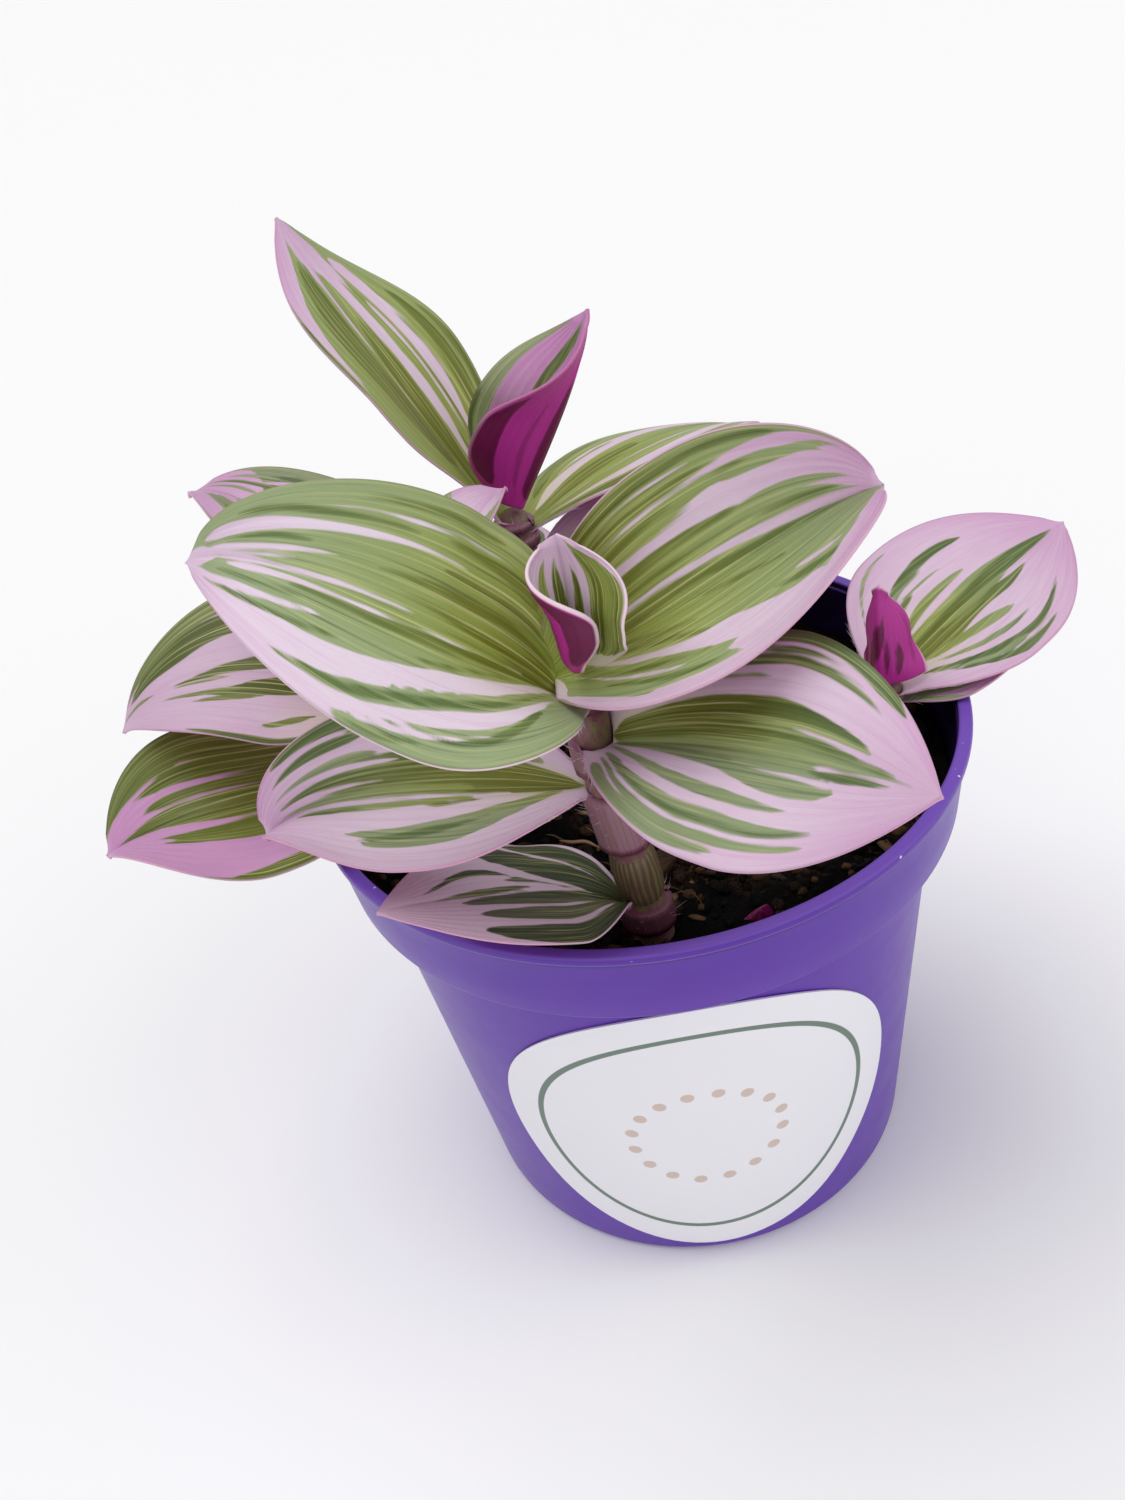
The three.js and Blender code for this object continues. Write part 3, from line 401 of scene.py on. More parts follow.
# How long a stripe's rounded end is, and how far inside or outside all stripes plain ground counts as
STRIPE_END = 1.6
FAR_INSIDE = 3.0

# Two greys that darken and lighten a colour in mottling
DARK_GREY = (0.25, 0.25, 0.25, 1)
LIGHT_GREY = (0.8, 0.8, 0.8, 1)

# Colours as screen values from 0 to 255
COLOURS = {
    # The darker old colours here stand both for old leaves and for painted shade on leaves that lie in
    # shade
    "sage": (156, 172, 128), "sage_warm": (148, 162, 66), "sage_old_shaded": (78, 82, 54),
    "deep": (98, 120, 66), "deep_warm": (116, 124, 26), "deep_old_shaded": (50, 62, 36),
    "pale": (232, 216, 231), "pink": (206, 142, 196), "pale_old_shaded": (202, 180, 196), "vein": (204, 206, 140),
    "margin": (150, 78, 120), "lip": (238, 214, 226),
    "under": (176, 14, 138), "under_dark": (84, 8, 44), "under_pale": (190, 84, 160),
    "sheath": (146, 108, 120), "sheath_green": (122, 120, 66),
    "husk": (112, 104, 64), "husk_dark": (80, 48, 56),
    "stem": (128, 84, 96), "stem_green": (118, 118, 62), "stem_dark": (88, 40, 58),
    # The darkest pot colour is dirt and painted shade inside the pot and painted shade in the groove under
    # the bead; the lightest is a painted highlight on the bead
    "pot": (92, 44, 164), "pot_rim": (84, 36, 158), "pot_dirt_and_shade": (20, 7, 40), "pot_lip_highlight": (128, 92, 196),
    "paper": (238, 236, 242), "ring": (74, 104, 84), "dots": (206, 184, 172),
    # The soil's two ground colours are darker than soil is: partly painted shade, for the shade inside the
    # pot
    "soil": (4, 3, 3), "soil_light": (20, 15, 12), "bark": (78, 56, 38), "bark_pale": (128, 100, 72),
    "hair": (226, 216, 206), "root": (150, 114, 82), "floor": (250, 250, 251),
}


def linear(name):
    """A named colour as linear values with an alpha."""
    values = [channel / 255 for channel in COLOURS[name]]
    curve = [v / 12.92 if v <= 0.04045 else ((v + 0.055) / 1.055) ** 2.4 for v in values]
    return (*curve, 1)


def smooth(value, low, high):
    share = np.clip((np.asarray(value, float) - low) / (high - low), 0, 1)
    return share * share * (3 - 2 * share)


def unit(vectors):
    return vectors / np.maximum(np.linalg.norm(vectors, axis=-1, keepdims=True), 1e-9)


def around(count):
    """Angles that share a full turn evenly."""
    return np.linspace(0, 2 * np.pi, count, endpoint=False)


def ring_points(centre, radius, angles, right, back):
    """Points around a centre, in the plane of two directions; the radius may differ for each angle."""
    spokes = np.cos(angles)[:, None] * right + np.sin(angles)[:, None] * back
    return centre + np.reshape(radius * np.ones(len(angles)), (-1, 1)) * spokes


class Shape:
    """Points, faces and values at the points, gathered from parts into one mesh."""

    def __init__(self):
        self.points = []
        self.faces = []
        self.slots = []
        self.values = {}
        self.count = 0

    def add(self, points, faces, slot=0, **values):
        points = np.asarray(points, float).reshape(-1, 3)
        for name, value in values.items():
            filled = np.broadcast_to(np.asarray(value, float).reshape(-1), len(points))
            self.values.setdefault(name, []).append((self.count, filled))
        self.points.append(points)
        self.faces.append(np.asarray(faces, int) + self.count)
        self.slots.append(np.full(len(faces), slot))
        self.count += len(points)

    def make(self, name, materials, sharp=None):
        """The Blender object, shaded smooth but for edges over the sharp angle in degrees."""
        mesh = bpy.data.meshes.new(name)
        corners = [face_set.shape[1] for face_set in self.faces]
        totals = np.concatenate([np.full(len(f), c) for f, c in zip(self.faces, corners)])
        loops = np.concatenate([face_set.ravel() for face_set in self.faces])
        mesh.vertices.add(self.count)
        mesh.vertices.foreach_set("co", (np.concatenate(self.points) * MM).ravel())
        mesh.loops.add(len(loops))
        mesh.loops.foreach_set("vertex_index", loops)
        mesh.polygons.add(len(totals))
        mesh.polygons.foreach_set("loop_start", np.concatenate([[0], np.cumsum(totals)[:-1]]))
        mesh.polygons.foreach_set("material_index", np.concatenate(self.slots))
        mesh.polygons.foreach_set("use_smooth", np.ones(len(totals), bool))
        mesh.update(calc_edges=True)
        mesh.validate()
        for key, parts in self.values.items():
            data = np.zeros(self.count)
            for start, value in parts:
                data[start:start + len(value)] = value
            mesh.attributes.new(key, "FLOAT", "POINT").data.foreach_set("value", data)
        for material in materials:
            mesh.materials.append(material)
        if sharp:
            mesh.set_sharp_from_angle(angle=math.radians(sharp))
        piece = bpy.data.objects.new(name, mesh)
        bpy.context.scene.collection.objects.link(piece)
        return piece


def grid_faces(rows, columns, closed=False, flip=False):
    """Quads between the points of a grid, whose last column may join the first."""
    index = np.arange(rows * columns).reshape(rows, columns)
    after = np.roll(index, -1, axis=1)
    if not closed:
        index = index[:, :-1]
        after = after[:, :-1]
    quads = [index[:-1], after[:-1], after[1:], index[1:]]
    if flip:
        quads.reverse()
    return np.stack([quad.ravel() for quad in quads], -1)


def install(piece, slot, *nodes):
    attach(piece, "root")
    if nodes:
        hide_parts(*nodes)
    return piece


class Nodes:
    """Short calls that add the nodes of one material."""

    def __init__(self, name, roughness, specular=0.5):
        self.material = bpy.data.materials.new(name)
        self.material.use_nodes = True
        self.tree = self.material.node_tree
        self.surface = self.tree.nodes["Principled BSDF"]
        self.surface.inputs["Roughness"].default_value = roughness
        self.surface.inputs["Specular IOR Level"].default_value = specular

    def add(self, kind, **settings):
        node = self.tree.nodes.new("ShaderNode" + kind)
        for key, value in settings.items():
            setattr(node, key, value)
        return node

    def put(self, socket, value):
        if isinstance(value, bpy.types.NodeSocket):
            self.tree.links.new(value, socket)
        else:
            socket.default_value = value

    def value(self, name):
        return self.add("Attribute", attribute_name=name).outputs["Fac"]

    def math(self, operation, first, second=0.0):
        node = self.add("Math", operation=operation)
        self.put(node.inputs[0], first)
        self.put(node.inputs[1], second)
        return node.outputs[0]

    def times(self, first, second):
        return self.math("MULTIPLY", first, second)

    def plus(self, first, second):
        return self.math("ADD", first, second)

    def minus(self, first, second):
        return self.math("SUBTRACT", first, second)

    def length(self, across, up):
        """How far a place is from the middle."""
        return self.math("SQRT", self.plus(self.times(across, across), self.times(up, up)))

    def step(self, value, low, high, start=0.0, end=1.0):
        node = self.add("MapRange", interpolation_type="SMOOTHSTEP")
        for key, entry in zip(("Value", "From Min", "From Max", "To Min", "To Max"),
                              (value, low, high, start, end)):
            self.put(node.inputs[key], entry)
        return node.outputs["Result"]

    def mix(self, share, first, second, mode="MIX"):
        node = self.add("Mix", data_type="RGBA", blend_type=mode)
        self.put(node.inputs[0], share)
        self.put(node.inputs[6], linear(first) if isinstance(first, str) else first)
        self.put(node.inputs[7], linear(second) if isinstance(second, str) else second)
        return node.outputs[2]

    def vector(self, x, y, z):
        node = self.add("CombineXYZ")
        for socket, value in zip(node.inputs, (x, y, z)):
            self.put(socket, value)
        return node.outputs[0]

    def place(self, scale=(1, 1, 1)):
        """Where a point is on the object, in millimetres, stretched by the scale."""
        node = self.add("Mapping")
        self.put(node.inputs["Vector"], self.add("TexCoord").outputs["Object"])
        node.inputs["Scale"].default_value = [axis / MM for axis in scale]
        return node.outputs[0]

    def part(self, vector, axis):
        node = self.add("SeparateXYZ")
        self.put(node.inputs[0], vector)
        return node.outputs[axis]

    def noise(self, vector, scale, detail=2.0, roughness=0.5):
        node = self.add("TexNoise")
        self.put(node.inputs["Vector"], vector)
        node.inputs["Scale"].default_value = scale
        node.inputs["Detail"].default_value = detail
        node.inputs["Roughness"].default_value = roughness
        return node.outputs["Fac"]

    def cells(self, vector, scale, feature="F1"):
        node = self.add("TexVoronoi", feature=feature)
        self.put(node.inputs["Vector"], vector)
        node.inputs["Scale"].default_value = scale
        return node.outputs["Distance"]

    def swing(self, value, amount):
        """A value from 0 to 1 as one from minus to plus half of the amount."""
        return self.times(self.minus(value, 0.5), amount)

    def mottle(self, colour, pattern, strength):
        """The colour made darker and lighter by a pattern."""
        return self.mix(strength, colour, self.mix(pattern, DARK_GREY, LIGHT_GREY), "OVERLAY")

    def bump(self, height, strength, distance):
        """Bump by a height from 0 to 1 that stands for a distance in millimetres."""
        node = self.add("Bump")
        node.inputs["Strength"].default_value = strength
        node.inputs["Distance"].default_value = distance * MM
        self.put(node.inputs["Height"], height)
        self.put(self.surface.inputs["Normal"], node.outputs[0])

    def finish(self, colour, roughness=None):
        self.put(self.surface.inputs["Base Color"], colour)
        if roughness is not None:
            self.put(self.surface.inputs["Roughness"], roughness)
        return self.material


# Materials of the leaves
def leaf_noise(nodes, along, across, detail=2.0, roughness=0.5):
    """Noise on a blade, finer along and across it by these factors and different on each leaf."""
    place = nodes.vector(
        nodes.times(nodes.value("along"), along),
        nodes.times(nodes.value("across"), across),
        nodes.value("seed"),
    )
    return nodes.noise(place, 1, detail, roughness)


def stripe_masks(nodes):
    """How green and how deep green the blade is, with edges that are frayed along the veins."""
    fray = leaf_noise(nodes, 5, 30, 2, 0.55)
    slow = leaf_noise(nodes, 9, 14, 1)
    shift = nodes.plus(nodes.swing(fray, 0.28), nodes.swing(slow, 0.3))
    cover = nodes.plus(nodes.value("cover"), shift)
    deep = nodes.plus(nodes.value("deep"), nodes.times(shift, 1.3))
    return nodes.step(cover, -0.14, 0.14), nodes.step(deep, -0.25, 0.25)


def vein_mask(nodes, count):
    """Fine lines from base to tip."""
    bend = nodes.times(leaf_noise(nodes, 3, 4, 1), 0.5)
    phase = nodes.plus(nodes.times(nodes.value("across"), count), bend)
    saw = nodes.math("ABSOLUTE", nodes.minus(nodes.math("FRACT", phase), 0.5))
    return nodes.step(saw, 0.12, 0.02)


def leaf_greens(nodes, deep, cloud, streaks):
    """The greens from sage to deep, with fine light and dark streaks, turned darker as on an old leaf,
    which also paints the shade on leaves that lie in shade.
    """
    warm = nodes.value("olive")
    # Painted shade: how far this leaf's colours turn dark and grey, partly for age and partly for the
    # shade it lies in
    old = nodes.value("age")
    sage = nodes.mix(old, nodes.mix(warm, "sage", "sage_warm"), "sage_old_shaded")
    rich = nodes.mix(old, nodes.mix(warm, "deep", "deep_warm"), "deep_old_shaded")
    greens = nodes.mix(nodes.times(deep, nodes.step(cloud, 0.2, 0.55, 0.65, 1)), sage, rich)
    greens = nodes.mix(nodes.step(streaks, 0.5, 0.72, 0, 0.4), greens, "vein")
    return nodes.mix(nodes.step(streaks, 0.46, 0.28, 0, 0.5), greens, "deep_old_shaded")


def leaf_pales(nodes, cloud, streaks):
    """The pale parts, from lilac to pink, creamy near the base where the greens are olive, and greyer as
    on an old leaf, which also paints the shade on leaves that lie in shade.
    """
    blush = nodes.plus(nodes.value("pink"), nodes.times(cloud, 0.3))
    pales = nodes.mix(nodes.step(blush, 0.15, 1.15), "pale", "pink")
    pales = nodes.mix(nodes.value("age"), pales, "pale_old_shaded")
    pales = nodes.mix(nodes.step(streaks, 0.5, 0.75, 0, 0.35), pales, "pink")
    near_base = nodes.step(nodes.value("along"), 0.45, 0.05, 0, 0.5)
    return nodes.mix(nodes.times(nodes.value("olive"), near_base), pales, "vein")


def add_veins(nodes, colour, green):
    """The colour with fine light veins, which show most on the greens."""
    uneven = leaf_noise(nodes, 1.5, 16, 1)
    on_olive = nodes.step(nodes.value("olive"), 0, 1, 0.2, 0.65)
    seen = nodes.times(nodes.step(green, 0, 1, 0.1, 1), on_olive)
    seen = nodes.times(seen, nodes.step(uneven, 0.35, 0.65))
    return nodes.mix(nodes.times(vein_mask(nodes, 11), seen), colour, "vein")


def leaf_upper_material():
    nodes = Nodes("leaf_upper", 0.42, 0.32)
    green, deep = stripe_masks(nodes)
    cloud = leaf_noise(nodes, 5, 9, 2)
    streaks = leaf_noise(nodes, 2, 32, 3, 0.6)
    greens = leaf_greens(nodes, deep, cloud, streaks)
    colour = nodes.mix(green, leaf_pales(nodes, cloud, streaks), greens)
    colour = add_veins(nodes, colour, green)
    grain = leaf_noise(nodes, 9, 120, 3, 0.65)
    colour = nodes.mottle(colour, grain, 0.28)
    edge = nodes.step(nodes.value("edge"), 0.24, 0.06)
    colour = nodes.mix(nodes.times(edge, nodes.value("rim")), colour, "margin")
    skin = nodes.cells(nodes.place(), 5.5)
    height = nodes.plus(nodes.times(grain, 0.6), nodes.times(skin, 0.5))
    nodes.bump(height, 0.5, 0.06)
    nodes.surface.inputs["Subsurface Weight"].default_value = 0.08
    nodes.surface.inputs["Subsurface Radius"].default_value = (0.9, 0.6, 0.5)
    nodes.surface.inputs["Subsurface Scale"].default_value = 0.8 * MM
    return nodes.finish(colour, nodes.step(grain, 0.3, 0.7, 0.36, 0.48))


def leaf_under_material():
    nodes = Nodes("leaf_under", 0.4, 0.35)
    green, deep = stripe_masks(nodes)
    grain = leaf_noise(nodes, 8, 90, 3, 0.65)
    vivid = nodes.mix(nodes.times(nodes.value("pink"), 0.35), "under", "under_pale")
    dark = nodes.plus(nodes.times(green, 0.35), nodes.times(deep, 0.5))
    colour = nodes.mix(dark, vivid, "under_dark")
    colour = nodes.mottle(colour, grain, 0.3)
    lip = nodes.step(nodes.value("edge"), 0.5, 0.12)
    colour = nodes.mix(nodes.times(lip, nodes.value("lip")), colour, "lip")
    stripes = leaf_noise(nodes, 1.5, 11, 2)
    sheath = nodes.mix(nodes.step(stripes, 0.5, 0.75, 0, 0.45), "sheath", "sheath_green")
    sheath = nodes.mix(nodes.times(vein_mask(nodes, 14), 0.35), sheath, "stem_dark")
    # Painted shade: the sheath is darkened on old leaves and on leaves that lie in shade
    sheath = nodes.mix(nodes.times(nodes.value("age"), 0.8), sheath, "stem_dark")
    sheath = nodes.mix(nodes.step(nodes.value("foot"), 0.2, 1, 0, 0.8), sheath, "under_dark")
    colour = nodes.mix(nodes.value("tube"), colour, sheath)
    nodes.bump(grain, 0.5, 0.07)
    return nodes.finish(colour, nodes.step(grain, 0.3, 0.7, 0.34, 0.5))


def hair_material():
    nodes = Nodes("hair", 0.6)
    tint = nodes.noise(nodes.place(), 0.8)
    return nodes.finish(nodes.mix(tint, "hair", "lip"))


# Materials of the stems, the pot, the label and the soil
def stem_material():
    nodes = Nodes("stem", 0.42)
    long_lines = nodes.noise(nodes.place((1.6, 1.6, 0.09)), 1, 3, 0.6)
    patches = nodes.noise(nodes.place((0.3, 0.3, 0.12)), 1, 2)
    colour = nodes.mix(nodes.step(long_lines, 0.42, 0.62), "stem", "stem_green")
    colour = nodes.mix(nodes.step(patches, 0.45, 0.7), colour, "stem")
    fine = nodes.noise(nodes.place((7, 7, 0.5)), 1, 2)
    colour = nodes.mix(nodes.times(nodes.step(fine, 0.5, 0.75), 0.6), colour, "stem_dark")
    colour = nodes.mix(nodes.value("joint"), colour, "under_dark")
    colour = nodes.mix(nodes.value("husk"), colour, husk_colour(nodes))
    nodes.bump(fine, 0.6, 0.1)
    return nodes.finish(colour)


def husk_colour(nodes):
    """The old dry sheath: olive with mauve lines."""
    uneven = nodes.noise(nodes.place((1.4, 1.4, 0.1)), 1, 2)
    lines = nodes.plus(nodes.value("line"), nodes.swing(uneven, 2))
    return nodes.mix(nodes.step(lines, 0.2, 0.75, 0.1, 0.75), "husk", "husk_dark")


def pot_material():
    nodes = Nodes("pot_plastic", 0.3, 0.38)
    height = nodes.part(nodes.place(), 2)
    flow = nodes.noise(nodes.place((0.06, 0.06, 0.02)), 1, 3)
    rim_share = nodes.step(height, POT["step_height"] - 1, POT["height"] + 2)
    colour = nodes.mottle(nodes.mix(rim_share, "pot", "pot_rim"), flow, 0.12)
    smudge = nodes.noise(nodes.place((0.12, 0.12, 0.2)), 1, 5, 0.65)
    # Painted shade: the inner wall is darkened nearly all over, partly as dirt and partly as the shade
    # inside the pot
    dirt_and_shade = nodes.times(nodes.value("inner"), nodes.step(smudge, 0.3, 0.55, 0.88, 1))
    colour = nodes.mix(dirt_and_shade, colour, "pot_dirt_and_shade")
    nodes.put(nodes.surface.inputs["Specular IOR Level"], nodes.step(dirt_and_shade, 0, 1, 0.38, 0.06))
    # Painted shade under the bead and painted highlights on its edges
    colour = paint_bead_shade_and_highlights(nodes, colour, height)
    colour = nodes.mix(rim_specks(nodes, height), colour, "paper")
    scuff = nodes.noise(nodes.place((0.9, 0.9, 1.4)), 1, 4, 0.7)
    nodes.bump(scuff, 0.02, 0.02)
    rough = nodes.step(smudge, 0.3, 0.75, 0.32, 0.38)
    return nodes.finish(colour, nodes.plus(rough, nodes.times(dirt_and_shade, 0.3)))


def paint_bead_shade_and_highlights(nodes, colour, height):
    """The colour with painted shade in the groove under the bead and painted highlights as light lines on
    the bead's edges.
    """
    bead = POT["bead_foot"]
    # Painted shade in the groove under the bead
    groove = nodes.step(height, bead - 0.8, bead - 0.2)
    groove = nodes.times(groove, nodes.step(height, bead + 0.2, bead))
    colour = nodes.mix(nodes.times(groove, 0.5), colour, "pot_dirt_and_shade")
    # Painted highlights on the bead's top and lower edges
    edge = nodes.step(height, bead, bead + 0.2)
    edge = nodes.times(edge, nodes.step(height, bead + 0.6, bead + 0.4))
    edge = nodes.plus(edge, nodes.step(height, bead + 1.1, bead + 1.5))
    return nodes.mix(nodes.times(edge, 0.6), colour, "pot_lip_highlight")


def rim_specks(nodes, height):
    """Where small white specks sit on the top of the rim."""
    speck = nodes.step(nodes.cells(nodes.place(), 0.55), 0.14, 0.1)
    chosen = nodes.step(nodes.noise(nodes.place(), 0.25, 1), 0.56, 0.6)
    near_top = nodes.step(height, POT["height"] - 0.8, POT["height"] - 0.4)
    return nodes.times(nodes.times(speck, chosen), near_top)


def label_material():
    """White coated paper with a thin printed ring and a wreath of round dots."""
    nodes = Nodes("label_paper", 0.5)
    across = nodes.value("flat_x")
    up = nodes.value("flat_y")
    radius = nodes.length(across, up)
    from_ring = nodes.math("ABSOLUTE", nodes.minus(radius, LABEL["ring_radius"]))
    ring = nodes.step(from_ring, 0.5, 0.38)
    turn = nodes.times(nodes.math("ARCTAN2", up, across), LABEL["dots"] / (2 * math.pi))
    sideways = nodes.minus(nodes.math("FRACT", turn), 0.5)
    sideways = nodes.times(sideways, 2 * math.pi * LABEL["wreath_radius"] / LABEL["dots"])
    inward = nodes.minus(radius, LABEL["wreath_radius"])
    spot = nodes.length(sideways, inward)
    dots = nodes.step(spot, 1.0, 0.86)
    fibres = nodes.noise(nodes.place(), 2.2, 4, 0.7)
    colour = nodes.mottle("paper", fibres, 0.1)
    colour = nodes.mix(nodes.times(ring, 0.9), colour, "ring")
    colour = nodes.mix(nodes.times(dots, 0.9), colour, "dots")
    nodes.bump(fibres, 0.15, 0.05)
    return nodes.finish(colour, nodes.step(fibres, 0.3, 0.7, 0.42, 0.55))


def soil_material():
    nodes = Nodes("soil", 0.9, 0.08)
    clumps = nodes.noise(nodes.place(), 0.35, 6, 0.7)
    grains = nodes.noise(nodes.place(), 2.4, 5, 0.7)
    patches = nodes.step(nodes.noise(nodes.place(), 0.07, 2), 0.48, 0.62)
    # Painted shade: the ground colours are darkened beyond the soil's own for the shade inside the pot
    colour = nodes.mix(nodes.step(grains, 0.5, 0.72), "soil", "soil_light")
    brown = nodes.times(patches, nodes.step(grains, 0.42, 0.6, 0, 0.7))
    colour = nodes.mix(brown, colour, "bark")
    colour = nodes.mix(nodes.step(clumps, 0.58, 0.72), colour, "bark")
    nodes.bump(grains, 0.9, 0.5)
    return nodes.finish(colour, nodes.step(clumps, 0.3, 0.7, 0.7, 0.98))


def crumb_material():
    nodes = Nodes("soil_crumbs", 0.9, 0.1)
    grains = nodes.noise(nodes.place(), 3.5, 4, 0.7)
    tone = nodes.plus(nodes.value("tone"), nodes.swing(grains, 0.8))
    colour = nodes.mix(nodes.step(tone, 0.1, 0.6), "soil", "soil_light")
    colour = nodes.mix(nodes.step(tone, 0.55, 1.0), colour, "bark")
    nodes.bump(grains, 0.8, 0.3)
    return nodes.finish(colour)


def bark_material():
    nodes = Nodes("bark", 0.85, 0.2)
    rings = nodes.noise(nodes.place((0.6, 2.5, 3.5)), 1, 4, 0.7)
    tone = nodes.plus(nodes.value("tone"), nodes.swing(rings, 0.9))
    colour = nodes.mix(nodes.step(tone, 0.1, 0.7), "soil_light", "bark")
    colour = nodes.mix(nodes.step(tone, 0.6, 1.1), colour, "bark_pale")
    nodes.bump(rings, 0.8, 0.3)
    return nodes.finish(colour)


def sprout_material():
    nodes = Nodes("sprout", 0.45)
    lines = nodes.noise(nodes.place((3, 3, 0.4)), 1, 3)
    nodes.bump(lines, 0.5, 0.1)
    return nodes.finish(nodes.mix(nodes.step(lines, 0.35, 0.65, 0, 0.55), "under_dark", "under"))


def root_material():
    nodes = Nodes("root", 0.8)
    lines = nodes.noise(nodes.place(), 2.5, 3)
    nodes.bump(lines, 0.6, 0.1)
    return nodes.finish(nodes.mix(lines, "root", "bark_pale"))


def floor_material():
    nodes = Nodes("floor", 0.85, 0.2)
    grain = nodes.noise(nodes.place(), 0.4, 3)
    colour = nodes.mix(0.05, "floor", nodes.mix(grain, (0.4, 0.4, 0.4, 1), (0.7, 0.7, 0.7, 1)), "OVERLAY")
    return nodes.finish(colour)


# Stems
def shoot_line(points):
    """A smooth curve through a shoot's points, as many short steps."""
    knots = [np.array(point, float) for point in points]
    knots = [2 * knots[0] - knots[1], *knots, 2 * knots[-1] - knots[-2]]
    samples = 100
    share = np.linspace(0, 1, samples, endpoint=False)[:, None]
    line = []
    for before, start, end, after in zip(knots, knots[1:], knots[2:], knots[3:]):
        leave = (end - before) / 2
        arrive = (after - start) / 2
        line.append(
            (2 * start - 2 * end + leave + arrive) * share**3
            + (-3 * start + 3 * end - 2 * leave - arrive) * share**2
            + leave * share + start
        )
    return np.vstack([*line, knots[-2]])


LINES = {shoot: shoot_line(points) for shoot, points in SHOOTS.items()}


def stem_point(shoot, z):
    """The point of a shoot's curve at a height; past its ends the curve goes on straight."""
    line = LINES[shoot]
    if z > line[-1, 2]:
        way = line[-1] - line[-4]
        return line[-1] + way * (z - line[-1, 2]) / way[2]
    return np.array([np.interp(z, line[:, 2], line[:, axis]) for axis in range(3)])


def stem_radius(z):
    share = np.clip((z - STEM["lowest"]) / (STEM["highest"] - STEM["lowest"]), 0, 1)
    return STEM["foot"] + (STEM["top"] - STEM["foot"]) * share


def stem_frame(shoot, z):
    """The centre and two crosswise directions of a stem at a height."""
    way = unit(stem_point(shoot, z + 1) - stem_point(shoot, z - 1))
    right = unit(np.cross((0, 1, 0), way))
    return stem_point(shoot, z), right, np.cross(way, right)


def stem_ring(shoot, z, radius, angles):
    """Points around a stem, square to it."""
    centre, right, back = stem_frame(shoot, z)
    return ring_points(centre, radius, angles, right, back)


def build_stem(shoot, material):
    """A round stem with a slightly swollen joint under each leaf and a domed top."""
    bottom = SHOOTS[shoot][0][2]
    top = STEM_ENDS[shoot]
    joints = [leaf["z"] - leaf["sheath"] for leaf in LEAVES.values() if leaf["shoot"] == shoot]
    angles = around(STEM["sides"])
    heights = np.arange(bottom, top - STEM["dome"], STEM["ring_spacing"])
    heights = np.append(heights, top - STEM["dome"] * np.linspace(1, 0, STEM["dome_rings"]) ** 2)
    rings = []
    marks = []
    for z in heights:
        nearness = max(math.exp(-((z - joint) / STEM["swelling_reach"]) ** 2) for joint in joints)
        dome = math.sqrt(min(1, 1 - (1 - min(1, (top - z) / STEM["dome"])) ** 2))
        ribs = STEM["rib_height"] * np.sin(STEM["ribs"] * angles + 0.05 * z)
        radius = dome * (stem_radius(z) + STEM["swelling"] * nearness + ribs)
        rings.append(stem_ring(shoot, z, radius, angles))
        marks.append(np.full(len(angles), 0.7 * nearness))
    shape = Shape()
    faces = grid_faces(len(heights), len(angles), closed=True)
    shape.add(np.concatenate(rings), faces, joint=np.concatenate(marks), husk=0)
    if shoot == OLD_SHEATH["shoot"]:
        add_husk(shape)
    return install(shape.make(f"fine_{shoot}_stem", [material]), "stem", f"{shoot}_stem")


def add_husk(shape):
    """The old sheath: a ribbed barrel around the stem that closes in at both ends."""
    low = OLD_SHEATH["bottom"]
    span = OLD_SHEATH["top"] - low
    angles = around(OLD_SHEATH["sides"])
    rings = []
    lines = []
    for share in np.linspace(0, 1, OLD_SHEATH["rows"]):
        height = low + share * span
        round_out = (1 - abs(2 * share - 0.9) ** 3.5) if share < 0.95 else 0
        wall = OLD_SHEATH["bulge"] * max(0, round_out) - 0.1
        wave = np.sin(OLD_SHEATH["ribs"] * angles + 1.2 * np.sin(3 * angles) + 0.5 * np.sin(5 * share))
        radius = stem_radius(height) + wall + STEM["rib_height"] * wave
        rings.append(stem_ring(OLD_SHEATH["shoot"], height, radius, angles))
        lines.append(0.5 + 0.5 * wave)
    faces = grid_faces(len(rings), len(angles), closed=True)
    shape.add(np.concatenate(rings), faces, joint=0, husk=1, line=np.concatenate(lines))


# Leaves
def blade_half_width(leaf, share):
    rise = 1 - np.clip(1 - share / leaf["widest"], 0, None) ** FORM["widening"]
    rise = leaf["base"] + (1 - leaf["base"]) * rise
    fall = 1 - np.clip((share - leaf["widest"]) / (1 - leaf["widest"]), 0, 1) ** leaf["tip"]
    width = leaf["width"] / 2 * np.where(share < leaf["widest"], rise, fall)
    return np.maximum(BLADE["tip_half_width"], width)


def blade_direction(leaf, share):
    """The midrib's heading and its direction at shares of its length."""
    heading = np.radians(leaf["heading"] + leaf["sweep"] * share)
    bend = leaf["bend"] * share ** FORM["bend_power"] + leaf["droop"] * share ** FORM["droop_power"]
    pitch = np.radians(leaf["rise"] - bend)
    flat = np.cos(pitch)
    return heading, np.stack([flat * np.cos(heading), flat * np.sin(heading), np.sin(pitch)], -1)


